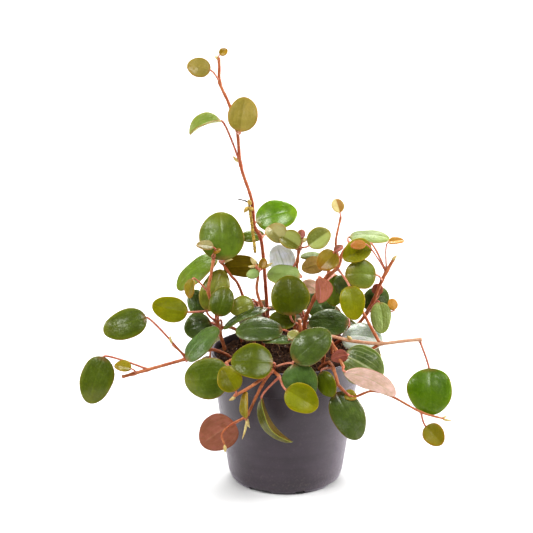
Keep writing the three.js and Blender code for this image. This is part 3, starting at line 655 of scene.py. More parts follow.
def leaf_pattern() -> Tree:
    """The masks of a leaf, from its skin coordinates and its side.

    The share across is |2u - 1| and the share along is v. The midrib is the middle, the side
    veins lie at three shares across, which run together at both ends as the outline does, and
    the rim is the edge line.

    Returns:
        The group.
    """
    names = ("Midrib", "Veins", "Margin", "Rim", "Tip", "Base", "Under", "Half")
    tree, w = new_group("leaf pattern", {name: "NodeSocketFloat" for name in names})
    parts = w.add("ShaderNodeSeparateXYZ", {0: w.skin()})
    wander = w.times(w.less(w.noise(w.place(), 0.005), 0.5), 0.09)
    across = w.math("ABSOLUTE", w.less(w.times(parts.outputs[0], 2.0), 1.0))
    along = parts.outputs[1]
    inner = w.span(along, 0.97, 0.72)
    midrib = w.times(w.span(across, 0.075, 0.015), inner)
    shifted = w.plus(across, wander)
    veins = None
    for share in (0.3, 0.56, 0.79):
        off = w.math("ABSOLUTE", w.less(shifted, share))
        line = w.span(off, 0.05, 0.0)
        veins = line if veins is None else w.math("MAXIMUM", veins, line)
    side = w.value_of("side")
    w.add("NodeGroupOutput", {
        "Midrib": midrib,
        "Veins": w.times(veins, w.span(along, 0.95, 0.55)),
        "Margin": w.math("MAXIMUM", w.span(shifted, 0.62, 1.0), w.span(along, 0.84, 1.0)),
        "Rim": w.math("MAXIMUM", w.span(across, 0.93, 0.985), w.span(along, 0.975, 0.995)),
        "Tip": w.span(w.plus(along, wander), 0.45, 0.98),
        "Base": w.times(w.span(along, 0.12, 0.0), w.span(across, 1.0, 0.4)),
        "Under": w.span(side, 0.4, 0.6),
        "Half": w.span(w.plus(parts.outputs[0], w.times(wander, 0.4)), 0.44, 0.56),
    })
    return tree


def mottle() -> Tree:
    """Uneven patches of four sizes, from broad to grain, each from 0 to 1.

    Returns:
        The group.
    """
    sizes = {"Broad": 0.014, "Patch": 0.0045, "Fleck": 0.0013, "Grain": 0.00035}
    tree, w = new_group("mottle", {name: "NodeSocketFloat" for name in sizes})
    place = w.place()
    patches = {name: w.span(w.noise(place, size), 0.3, 0.7) for name, size in sizes.items()}
    w.add("NodeGroupOutput", patches)
    return tree


def shaded(colour: Colour, times: float, blue: float) -> Colour:
    """A colour with its red and green times one number, and its blue times another."""
    return (colour[0] * times, colour[1] * times, colour[2] * blue, 1.0)


@dataclass(frozen=True)
class LeafLook:
    """The screen colours of one look of leaf, and how glossy it is.

    colours lists the upper face, the band inside its margin, its edge line, its tip and the lower
    face. Unless light, deep or vein is given, the upper face's light patches are its colour times
    the contrast and paler, the deep ones are its colour divided by it, and the veins are paler
    than the light patches. tip_share says how much of the tip's colour shows, split how much
    paler one half is than the other and how much darker the other is, sheen how much of the upper
    face shines, and vein_share how strongly the veins show. The paler half is painted light and
    the darker half painted shade, in place of a folded leaf's halves turned to and from the light;
    on the cream look the two halves are the leaf's own two colours.
    """

    colours: str
    contrast: float
    tip_share: float = 0.3
    edge_share: float = 0.5
    gloss: float = 0.3
    split: float = 0.0
    sheen: float = 0.9
    vein_share: float = 0.1
    light: str = ""
    deep: str = ""
    vein: str = ""

    def shades(self, main: Colour) -> tuple[Colour, Colour, Colour]:
        """Works out what goes with the upper face's main colour.

        Args:
            main: The main colour.

        Returns:
            The light patches', the deep patches' and the veins' colours.
        """
        light = linear(self.light) if self.light else shaded(main, self.contrast, 2.6)
        deep = linear(self.deep) if self.deep else shaded(main, 1.0 / self.contrast, 0.45)
        vein = linear(self.vein) if self.vein else shaded(light, 1.3, 1.7)
        return light, deep, vein


LOOKS: dict[str, LeafLook] = {
    "deep": LeafLook("425424 5a6828 706034 6a7228 949c70", 2.05, 0.2, 0.4, 0.22),
    "old": LeafLook("3e4a1a 54561a 7a603a 62641e 989a74", 2.1, 0.2, 0.4, 0.24),
    "mature": LeafLook("506016 686e16 94703a 80761a a4a070", 1.8, 0.3, 0.5, 0.26, 0, 0.5),
    "sap": LeafLook("4c7008 688408 907434 7c841e a4a870", 1.9, 0.2, 0.4, 0.22, 0.1, light="70901e"),
    "fresh": LeafLook("768642 828e42 a48654 8e9048 a8b686", 1.63, 0.3, 0.4, 0.36, 0.35, 0.2),
    "olive": LeafLook("646e22 80762a aa7c3e 967c2e aa9870", 1.57, 0.6, 0.6, 0.3, 0, 0.45),
    "amber olive": LeafLook("847e1c 94781c b0722e a07214 b09654", 1.38, 0.8, 0.7, 0.36, 0.25, 0.4),
    "moss": LeafLook("464e04 626404 967c26 686604 8e8c3e", 1.7, 0.3, 0.6, 0.28, 0, 0.5),
    "lime": LeafLook("6e7004 827a04 ac8e22 907e06 aca652", 1.5, 0.4, 0.6, 0.32, 0.3, 0.4),
    "young": LeafLook("786c0c 866e10 b07e30 986a10 b8b068", 1.5, 0.5, 0.6, 0.36, 0.4, 0.4),
    "pale": LeafLook("7e7840 8c723a a87e46 927234 b6b088", 1.65, 0.5, 0.5, 0.36, 0.6, 0.2),
    "bronze": LeafLook("766414 86681a a87636 8e5c1c 9c7446", 1.72, 0.7, 0.6, 0.34, 0.4, 0.4),
    "amber": LeafLook("a8782c ae7830 b67034 a86026 be9058", 1.42, 0.6, 0.5, 0.38, 0.5, 0.5),
    "blush": LeafLook("888840 ac8e5e bc886e bc886e e8c6ac", 1.45, 0.3, 0.4, 0.4),
    "russet": LeafLook("70542e 825a38 884a3e 8e5440 905e46", 1.75, 0.3, 0.4, 0.4),
    "rose": LeafLook("905c44 986446 98563e a6663e 9a6048", 1.65, 0.4, 0.4, 0.36, 0.4, 0.5),
    "umber": LeafLook("685c08 7e6812 987620 846c14 70620e", 1.8, 0.3, 0.4, 0.3),
    "tip": LeafLook("886a12 8c6a12 a67224 88580c ae9240", 1.42, 0.5, 0.4, 0.38, 0.5, 0.4),
    "cream": LeafLook("a89250 ac8a3e b88a44 a47a32 c8b480", 1.5, 0.4, 0.4, 0.38, 0.9, 0.4,
                      light="9c742c", deep="e4d898"),
    "folded": LeafLook("5a5c1c 767624 90983c 7a5c24 564418", 1.85, 0.4, 0.5, 0.34),
    "parted": LeafLook("747626 887622 a8863a 907226 b0ae7c", 1.9, 0.3, 0.5, 0.34, 0.7, 0.4,
                       light="9ea660"),
    "leafy": LeafLook("788028 8a8428 aa863a 948a2c aaa66c", 1.7, 0.4, 0.5, 0.3, 0.2, 0.7),
    "khaki": LeafLook("867830 907a3a a8643c 9e7636 ac9c68", 1.5, 0.6, 0.7, 0.36, 0.2, 0.4),
    "spring": LeafLook("6e7e2c 868838 a0603c 8e8430 a8ac70", 1.5, 0.3, 0.6, 0.34, 0.2, 0.5),
    # A near-white look: partly the leaf's own pale silvery face and partly a painted highlight laid
    # over it; its dark green veins are its own.
    "silver": LeafLook("d6dcda d2d8d4 e4e6e6 c8ccc8 dcdeda", 1.25, 0.1, 0.3, 0.3, 0.2, 0.9, 1.0,
                       "f2f2f0", "8c9c90", "566e50"),
    # A grey-green leaf whose near-white light patches are painted highlights.
    "grey highlight": LeafLook("a4b2a6 acb292 aea892 c0cab0 dae0da", 2.0, 0.1, 0.3, 0.24, 0.3, 0.9, 0.55,
                      "ececec", "6c8468", "6e8668"),
    # A dark green leaf whose pale veins and paler patches are painted reflections over its own dark
    # green.
    "wet": LeafLook("4e6822 667226 aca884 6a7826 96a066", 2.0, 0.1, 0.3, 0.16, 0.3, 0.9, 0.5,
                    "929e60", "283a0c", "c6ce9c"),
}


@dataclass(frozen=True)
class PlainLook:
    """A finish of patches in three screen colours, with its own relief.

    relief is the depth of its bumps in metres. grain and fleck say how strongly its finest and
    next finest patches show, and glow how much light passes through it.
    """

    name: str
    main: str
    light: str
    deep: str
    roughness: float
    relief: float
    grain: float = 0.3
    fleck: float = 0.5
    glow: float = 0.0


STEM = PlainLook("stem skin", "a84c2a", "ce8a5c", "681f0e", 0.42, 0.00012, glow=0.1)
PALE_STEM = PlainLook("pale stem skin", "c08660", "dcb698", "94563a", 0.42, 0.00012, glow=0.1)
STALK = PlainLook("leaf stalk", "b25e46", "d69c82", "8a3826", 0.38, 0.00008, glow=0.15)
PITH = PlainLook("cut end", "e4cdb8", "efdfd0", "b98a6a", 0.7, 0.0002, glow=0.1)
BUD = PlainLook("bud", "bca860", "d8d09c", "ae7a40", 0.45, 0.00008, glow=0.15)
BRACT = PlainLook("bract", "b0903c", "ccb46c", "84641e", 0.5, 0.0001, glow=0.1)
SPIKE = PlainLook("spike", "a8862c", "c8b050", "5c3814", 0.6, 0.0002, fleck=0.8)
DRY = PlainLook("dry thread", "463430", "665048", "2c201c", 0.8, 0.0002)
PEAT = PlainLook("peat", "4a3022", "6e4a34", "241610", 0.95, 0.0006, 0.6, 0.8)
FIBRE = PlainLook("peat fibre", "7a5636", "a07c54", "4c3420", 0.85, 0.0002)
PERLITE = PlainLook("perlite", "dcd6ca", "f0ece4", "a8a090", 0.9, 0.0003)


@dataclass
class Finishes:
    """Makes every material once, when it is first asked for."""

    made: dict[str, Material] = field(default_factory=dict)
    groups: dict[str, Tree] = field(default_factory=dict)

    def group(self, name: str, maker: Callable[[], Tree]) -> Tree:
        """A node group, made when it is first asked for."""
        if name not in self.groups:
            self.groups[name] = maker()
        return self.groups[name]

    def once(self, name: str, wire: Callable[[Wiring, Node], None]) -> Material:
        """A material, made when it is first asked for.

        Args:
            name: Its name.
            wire: What wires its nodes to the shader.

        Returns:
            The material.
        """
        if name not in self.made:
            material = bpy.data.materials.new(name)
            material.use_nodes = True
            material.node_tree.nodes.clear()
            w = Wiring(material.node_tree)
            shader = w.add("ShaderNodeBsdfPrincipled")
            w.add("ShaderNodeOutputMaterial", {0: shader.outputs[0]})
            wire(w, shader)
            self.made[name] = material
        return self.made[name]

    def patches(self, w: Wiring) -> Node:
        """The mottle group's node in a material."""
        node = w.add("ShaderNodeGroup")
        node.node_tree = self.group("mottle", mottle)
        return node

    def leaf(self, look: str) -> Material:
        """The finish of a leaf's blade."""
        return self.once(f"leaf {look}", lambda w, shader: self.wire_leaf(w, shader, LOOKS[look]))

    def plain(self, look: PlainLook) -> Material:
        """The finish of a look of patches."""
        return self.once(look.name, lambda w, shader: self.wire_plain(w, shader, look))

    def stem(self, look: PlainLook) -> Material:
        """The skin of a stem."""
        return self.once(look.name, lambda w, shader: self.wire_stem(w, shader, look))

    def plastic(self) -> Material:
        """The pot's plastic."""
        return self.once("pot plastic", self.wire_plastic)

    def wire_leaf(self, w: Wiring, shader: Node, look: LeafLook) -> None:
        """Wires a leaf's finish.

        The upper face goes from main to light in broad patches and to deep in small ones, and
        takes the edge's, tip's and veins' colours by their masks. One half of it is painted paler
        and the other darker by split, painted light and painted shade for a folded leaf's halves.
        The lower face is plainer. The leaf's own tone shifts its colour. Roughness follows the
        patches and the side, and the bumps are the midrib, the side veins and soft waves.

        Args:
            w: The material's wiring.
            shader: Its shader.
            look: The leaf's look.
        """
        pattern = w.add("ShaderNodeGroup")
        pattern.node_tree = self.group("leaf pattern", leaf_pattern)
        mask = pattern.outputs
        patch = self.patches(w).outputs
        tone = w.value_of("tone")
        broad = w.times(w.plus(patch["Broad"], tone), 0.5)
        main, edge, rim, tip, under = (linear(code) for code in look.colours.split())
        light, deep, vein = look.shades(main)
        # The light patches: the leaf's own mottle, and on the near-white glossy looks painted
        # highlights.
        upper = w.mix(broad, main, light)
        upper = w.over(upper, patch["Patch"], 0.4, deep)
        inside = w.less(1.0, mask["Margin"])
        upper = w.over(upper, w.times(inside, w.span(tone, 1.0, 0.0)), 0.4, deep)
        # Painted light on one half and painted shade on the other, by split, in place of a folded
        # leaf's halves turned to and from the light; on the cream look these are its own two
        # colours.
        upper = w.over(upper, w.times(mask["Half"], inside), look.split, light)
        upper = w.over(upper, w.less(1.0, mask["Half"]), 0.8 * look.split, deep)
        lines = w.math("MAXIMUM", w.times(mask["Veins"], 0.5), mask["Midrib"])
        # The veins' colour; on the dark green look with pale veins it is a painted reflection along
        # them.
        upper = w.over(upper, lines, look.vein_share, vein)
        upper = w.over(upper, mask["Margin"], look.edge_share, edge)
        upper = w.over(upper, mask["Tip"], w.times(patch["Broad"], look.tip_share), tip)
        lower = w.mix(patch["Patch"], under, shaded(under, 1.25, 1.5))
        lower = w.over(lower, lines, 0.4, vein)
        both = w.mix(mask["Under"], upper, lower)
        both = w.over(both, mask["Rim"], 0.65, rim)
        both = w.over(both, mask["Base"], 0.3, linear(STALK.main))
        both = w.over(both, w.span(patch["Fleck"], 0.7, 1.0), 0.16, light)
        shifted = w.add("ShaderNodeHueSaturation", {
            "Hue": w.span(tone, 0.0, 1.0, *TONE_HUES),
            "Value": w.span(tone, 0.0, 1.0, *TONE_VALUES),
            "Color": both,
        })
        w.feed(shader.inputs["Base Color"], shifted.outputs[0])
        uneven = w.span(patch["Patch"], 0.0, 1.0, look.gloss, look.gloss + GLOSS_RANGE)
        rougher = w.times(mask["Under"], UNDERSIDE_ROUGHER)
        w.feed(shader.inputs["Roughness"], w.plus(uneven, rougher))
        clouds = w.plus(w.times(patch["Broad"], 0.6), w.times(patch["Fleck"], 0.4))
        shine = w.times(w.span(clouds, 0.3, 0.75, 0.1), look.sheen)
        w.feed(shader.inputs["Coat Weight"], w.times(shine, w.span(mask["Under"], 1.0, 0.0)))
        waves = w.times(patch["Patch"], 0.6)
        cells = w.plus(w.times(patch["Grain"], 0.03), w.times(patch["Fleck"], 0.16))
        furrows = w.times(mask["Veins"], -0.13)
        height = w.plus(w.plus(waves, cells), furrows)
        w.bump(shader, height, LEAF_RELIEF, 0.85)
        w.set(shader, {"Subsurface Weight": 0.1, "Subsurface Radius": LEAF_GLOW,
                       "Subsurface Scale": MM, "Specular IOR Level": 0.06,
                       "Coat Roughness": 0.23})

    def wire_plain(self, w: Wiring, shader: Node, look: PlainLook) -> None:
        """Wires a finish of patches: main to light by tone and patch, and to deep by fleck.

        Args:
            w: The material's wiring.
            shader: Its shader.
            look: Its look.
        """
        patch = self.patches(w).outputs
        tone = w.value_of("tone")
        lightness = w.times(w.plus(patch["Patch"], tone), 0.5)
        colour = w.mix(lightness, linear(look.main), linear(look.light))
        colour = w.over(colour, patch["Fleck"], look.fleck, linear(look.deep))
        w.feed(shader.inputs["Base Color"], colour)
        w.feed(shader.inputs["Roughness"],
               w.span(patch["Fleck"], 0.0, 1.0, look.roughness - 0.06, look.roughness + 0.05))
        height = w.plus(w.times(patch["Grain"], look.grain), patch["Fleck"])
        w.bump(shader, height, look.relief)
        w.set(shader, {"Subsurface Weight": look.glow, "Subsurface Radius": SKIN_GLOW,
                       "Subsurface Scale": MM, "Specular IOR Level": 0.25})

    def wire_stem(self, w: Wiring, shader: Node, look: PlainLook) -> None:
        """Wires the stems' finish: a patchy red skin with fine streaks along it.

        The streaks are noise whose coordinates are (8 x mirrored turn, 0.12 x millimetres along).

        Args:
            w: The material's wiring.
            shader: Its shader.
            look: Its look.
        """
        self.wire_plain(w, shader, look)
        streak = w.span(w.noise(w.squeezed(w.skin(), (8.0, 0.12, 1.0)), 1.0), 0.35, 0.7)
        colour = shader.inputs["Base Color"].links[0].from_socket
        colour = w.over(colour, streak, 0.4, linear(look.deep))
        grown = w.span(w.value_of("side"), 0.35, 1.0)
        colour = w.over(colour, grown, 0.3, linear(look.light))
        w.feed(shader.inputs["Base Color"], colour)

    def wire_plastic(self, w: Wiring, shader: Node) -> None:
        """Wires the pot's plastic: warm grey, with faint level flow marks, dust and a fine grain.

        The flow marks are noise whose place is squeezed to 0.06 of itself across and kept in
        height.

        Args:
            w: The material's wiring.
            shader: Its shader.
        """
        patch = self.patches(w).outputs
        place = w.place()
        flow = w.span(w.noise(w.squeezed(place, (0.06, 0.06, 1.0)), 0.006), 0.3, 0.7)
        grey = w.over(linear("40363e"), flow, 0.5, linear("4e424c"))
        grey = w.over(grey, patch["Broad"], 0.35, linear("30272d"))
        height = w.add("ShaderNodeSeparateXYZ", {0: place}).outputs[2]
        dusty = w.times(w.span(height, 0.022, 0.0), w.span(patch["Fleck"], 0.35, 1.0))
        grey = w.over(grey, dusty, 0.12, linear("7d7268"))
        grey = w.over(grey, w.span(patch["Fleck"], 0.85, 1.0), 0.08, linear("877c74"))
        w.feed(shader.inputs["Base Color"], grey)
        w.feed(shader.inputs["Roughness"], w.span(patch["Patch"], 0.0, 1.0, 0.3, 0.4))
        relief = w.plus(patch["Grain"], w.times(flow, 0.6))
        w.bump(shader, relief, PLASTIC_RELIEF)
        w.set(shader, {"Sheen Weight": 0.3, "Sheen Roughness": 0.4,
                       "Sheen Tint": (0.92, 0.84, 1.0, 1.0)})


# ---------------- surfaces


@dataclass
class Surface:
    """A closed skin of rings, each closed round, with a pole at either end.

    rings is (stations, around, 3) and poles (2, 3), in millimetres. uv holds two coordinates for
    each ring point. side and tone are the two values that the finishes read. strips holds, for
    each station, the number of the finish that starts there.
    """

    rings: Array
    poles: Array
    uv: Array
    side: Array
    tone: float
    strips: Array

    def faces(self) -> tuple[Array, Array]:
        """Four-sided faces between neighbouring rings, and three-sided ones round each pole.

        Returns:
            The quads and the triangles, as indices with the poles after the ring points, turned
            so that the signed volume of the skin is positive.
        """
        stations, around = self.rings.shape[:2]
        here = np.arange(stations - 1)[:, None] * around
        step = np.arange(around)[None, :]
        onward = (step + 1) % around
        quads = np.stack([here + step, here + onward, here + around + onward,
                          here + around + step], axis=-1).reshape(-1, 4)
        first, last = stations * around, stations * around + 1
        edge, ahead = np.arange(around), (np.arange(around) + 1) % around
        foot = np.stack([np.full(around, first), ahead, edge], axis=-1)
        shift = (stations - 1) * around
        head = np.stack([np.full(around, last), shift + edge, shift + ahead], axis=-1)
        fans = np.concatenate([foot, head])
        points = self.points()
        split = np.concatenate([quads[:, [0, 1, 2]], quads[:, [0, 2, 3]], fans])
        corner = points[split]
        volume = np.einsum("ij,ij->", corner[:, 0], np.cross(corner[:, 1], corner[:, 2]))
        if volume < 0:
            quads, fans = quads[:, ::-1], fans[:, ::-1]
        return quads, fans

    def points(self) -> Array:
        """Ring points in order, and then the two poles."""
        return np.concatenate([self.rings.reshape(-1, 3), self.poles])

    def values(self) -> tuple[Array, Array]:
        """The uv and side of every point, with each pole taking its nearest ring's mean."""
        ends = np.stack([self.uv[0].mean(axis=0), self.uv[-1].mean(axis=0)])
        uv = np.concatenate([self.uv.reshape(-1, 2), ends])
        tips = np.array([self.side[0].mean(), self.side[-1].mean()])
        return uv, np.concatenate([self.side.reshape(-1), tips])


class MeshDraft:
    """Gathers surfaces and turns them into one mesh object."""

    def __init__(self) -> None:
        """Starts with nothing in it."""
        self.points: list[Array] = []
        self.uv: list[Array] = []
        self.side: list[Array] = []
        self.tone: list[Array] = []
        self.quads: list[Array] = []
        self.fans: list[Array] = []
        self.quad_finish: list[Array] = []
        self.fan_finish: list[Array] = []
        self.finishes: list[Material] = []
        self.count = 0

    def number(self, finish: Material) -> int:
        """The number that stands for a finish in this draft's strips."""
        if finish not in self.finishes:
            self.finishes.append(finish)
        return self.finishes.index(finish)

    def add(self, surface: Surface) -> None:
        """Adds one surface.

        Args:
            surface: The skin to add.
        """
        points = surface.points()
        uv, side = surface.values()
        quads, fans = surface.faces()
        around = surface.rings.shape[1]
        self.points.append(points)
        self.uv.append(uv)
        self.side.append(side)
        self.tone.append(np.full(len(points), surface.tone))
        self.quads.append(quads + self.count)
        self.fans.append(fans + self.count)
        self.quad_finish.append(np.repeat(surface.strips[:-1], around))
        self.fan_finish.append(np.repeat(surface.strips[[0, -1]], around))
        self.count += len(points)

    def build(self, name: str) -> Object:
        """Makes the mesh object, smooth and in metres.

        Args:
            name: The piece's name.

        Returns:
            The new object, linked to the scene.
        """
        quads, fans = np.concatenate(self.quads), np.concatenate(self.fans)
        corners = np.concatenate([quads.reshape(-1), fans.reshape(-1)]).astype(np.int32)
        starts = np.concatenate([np.arange(len(quads)) * 4,
                                 len(quads) * 4 + np.arange(len(fans)) * 3]).astype(np.int32)
        finish = np.concatenate(self.quad_finish + self.fan_finish).astype(np.int32)
        mesh = bpy.data.meshes.new(name)
        mesh.vertices.add(self.count)
        mesh.vertices.foreach_set("co", (np.concatenate(self.points) * MM).reshape(-1))
        mesh.loops.add(len(corners))
        mesh.loops.foreach_set("vertex_index", corners)
        mesh.polygons.add(len(starts))
        mesh.polygons.foreach_set("loop_start", starts)
        mesh.polygons.foreach_set("material_index", finish)
        mesh.polygons.foreach_set("use_smooth", np.ones(len(starts), bool))
        mesh.update(calc_edges=True)
        layer = mesh.uv_layers.new(name="skin")
        layer.uv.foreach_set("vector", np.concatenate(self.uv)[corners].reshape(-1))
        for title, values in (("side", self.side), ("tone", self.tone)):
            attribute = mesh.attributes.new(title, "FLOAT", "POINT")
            attribute.data.foreach_set("value", np.concatenate(values))
        for material in self.finishes:
            mesh.materials.append(material)
        piece = bpy.data.objects.new(name, mesh)
        bpy.context.scene.collection.objects.link(piece)
        return piece


def unit(vectors: Array) -> Array:
    """Vectors of length 1 along the last axis."""
    return vectors / np.linalg.norm(vectors, axis=-1, keepdims=True)


def once_round(count: int) -> Array:
    """The angles of even steps once round, from 0."""
    return np.linspace(0.0, 2.0 * np.pi, count, endpoint=False)


def run_lengths(points: Array) -> Array:
    """How far along its path each point lies."""
    return np.concatenate([[0.0], np.cumsum(np.linalg.norm(np.diff(points, axis=0), axis=1))])


def smoothstep(low: float, high: float, values: Array) -> Array:
    """0 below low, 1 above high, and 3x^2 - 2x^3 of the share between them."""
    share = np.clip((values - low) / (high - low), 0.0, 1.0)
    return share * share * (3.0 - 2.0 * share)


def with_ends(places: Array) -> Array:
    """The places with one more at either end, as far on as the last step."""
    return np.vstack([2.0 * places[0] - places[1], places, 2.0 * places[-1] - places[-2]])


def smooth_path(places: Array, spacing: float) -> tuple[Array, Array]:
    """A curve through the places: a cubic in each span with half the chord of its neighbours.

    Args:
        places: The (n, 3) places it passes through.
        spacing: Roughly how far apart its samples are.

    Returns:
        The samples, and for each how many places lie behind it.
    """
    known = with_ends(places)
    spans = np.linalg.norm(np.diff(places, axis=0), axis=1)
    steps = np.maximum(2, np.round(spans / spacing)).astype(int)
    counts = np.concatenate([np.arange(n) / n + k for k, n in enumerate(steps)] + [[len(spans)]])
    return curve_point(known, counts), counts


def curve_point(known: Array, counts: Array) -> Array:
    """The curve of smooth_path at the given counts.

    Args:
        known: Its places, with one more before the first and one more after the last.
        counts: How many places lie behind each wanted point.

    Returns:
        The points.
    """
    span = np.minimum(np.floor(counts).astype(int), len(known) - 4)
    share = (counts - span)[:, None]
    p0, p1, p2, p3 = (known[span + k] for k in range(4))
    slope1, slope2 = 0.5 * (p2 - p0), 0.5 * (p3 - p1)
    return (
        (2 * share**3 - 3 * share**2 + 1) * p1 + (share**3 - 2 * share**2 + share) * slope1
        + (3 * share**2 - 2 * share**3) * p2 + (share**3 - share**2) * slope2
    )


def carried_axes(tangents: Array, across: Array) -> Array:
    """Carries one direction along a path without twist, from its last station to its first.

    Each step takes away the part of the direction that lies along the next tangent.

    Args:
        tangents: The path's directions, one for each station.
        across: The direction at the last station.

    Returns:
        The direction at every station, square to the path.
    """
    carried = np.empty_like(tangents)
    current = across
    for station in range(len(tangents) - 1, -1, -1):
        tangent = tangents[station]
        current = unit(current - np.dot(current, tangent) * tangent)
        carried[station] = current
    return carried


def tube(points: Array, radii: Array, finish: int, tone: float, around: int = 12) -> Surface:
    """A round section carried along a path: centre + radius (cos turn A + sin turn B).

    Args:
        points: The path's stations.
        radii: The radius at each station, or the (stations, around) radii.
        finish: The number of its finish.
        tone: A value between 0 and 1 that sets it apart from its neighbours.
        around: The number of points round it.

    Returns:
        The tube. Its uv is (mirrored turn, length in millimetres) and its side the share of
        its length.
    """
    tangents = unit(np.gradient(points, axis=0))
    helper = RIGHT if abs(tangents[-1] @ RIGHT) < 0.8 else UP
    first = carried_axes(tangents, helper)
    second = np.cross(tangents, first)
    turn = once_round(around)
    cosine, sine = np.cos(turn)[None, :, None], np.sin(turn)[None, :, None]
    spokes = cosine * first[:, None] + sine * second[:, None]
    radii = radii[:, None] if radii.ndim == 1 else radii
    rings = points[:, None] + radii[..., None] * spokes
    lengths = run_lengths(points)
    mirrored = np.abs(turn / np.pi - 1.0)
    uv = np.stack(np.broadcast_arrays(mirrored[None, :], lengths[:, None]), axis=-1)
    side = np.broadcast_to((lengths / lengths[-1])[:, None], rings.shape[:2])
    poles = np.stack([points[0], points[-1]])
    return Surface(rings, poles, uv, side, tone, np.full(len(points), finish))


# ---------------- leaves, stems and buds


@dataclass(frozen=True)
class Leaf:
    """A leaf in the part's frame. Its axes are its midrib, the way across and its upper face."""

    at: float
    middle: Array
    midrib: Array
    across: Array
    face: Array
    length: float
    width: float
    kind: Kind
    look: str


def leaf_in_frame(at: float, middle: Array, face: Array, towards_tip: Array, length: float,
                  width: float, kind: Kind, tint: str = "") -> Leaf:
    """Squares a leaf's tip direction to its face.

    Args:
        at: Where it starts on its stem.
        middle: The middle of its blade.
        face: The direction of its upper face, of length 1.
        towards_tip: Roughly where its tip points.
        length: Its blade's length.
        width: Its blade's width.
        kind: Its kind.
        tint: The name of its look, where that isn't its kind's.

    Returns:
        The leaf with its three axes square to each other.
    """
    midrib = unit(towards_tip - np.dot(towards_tip, face) * face)
    across = np.cross(midrib, face)
    return Leaf(at, middle, midrib, across, face, length, width, kind, tint or kind.value.look)


def seen_leaf(plan: LeafPlan) -> Leaf:
    """Puts a leaf that was written down as seen into the part's frame."""
    lean = math.radians(plan.tilt)
    face = math.cos(lean) * SIGHT.towards() + math.sin(lean) * SIGHT.in_picture(plan.facing)
    middle = SIGHT.place(plan.across, plan.up, plan.front)
    heading = SIGHT.in_picture(plan.heading)
    return leaf_in_frame(
        plan.at, middle, face, heading, plan.length, plan.width, plan.kind, plan.tint)


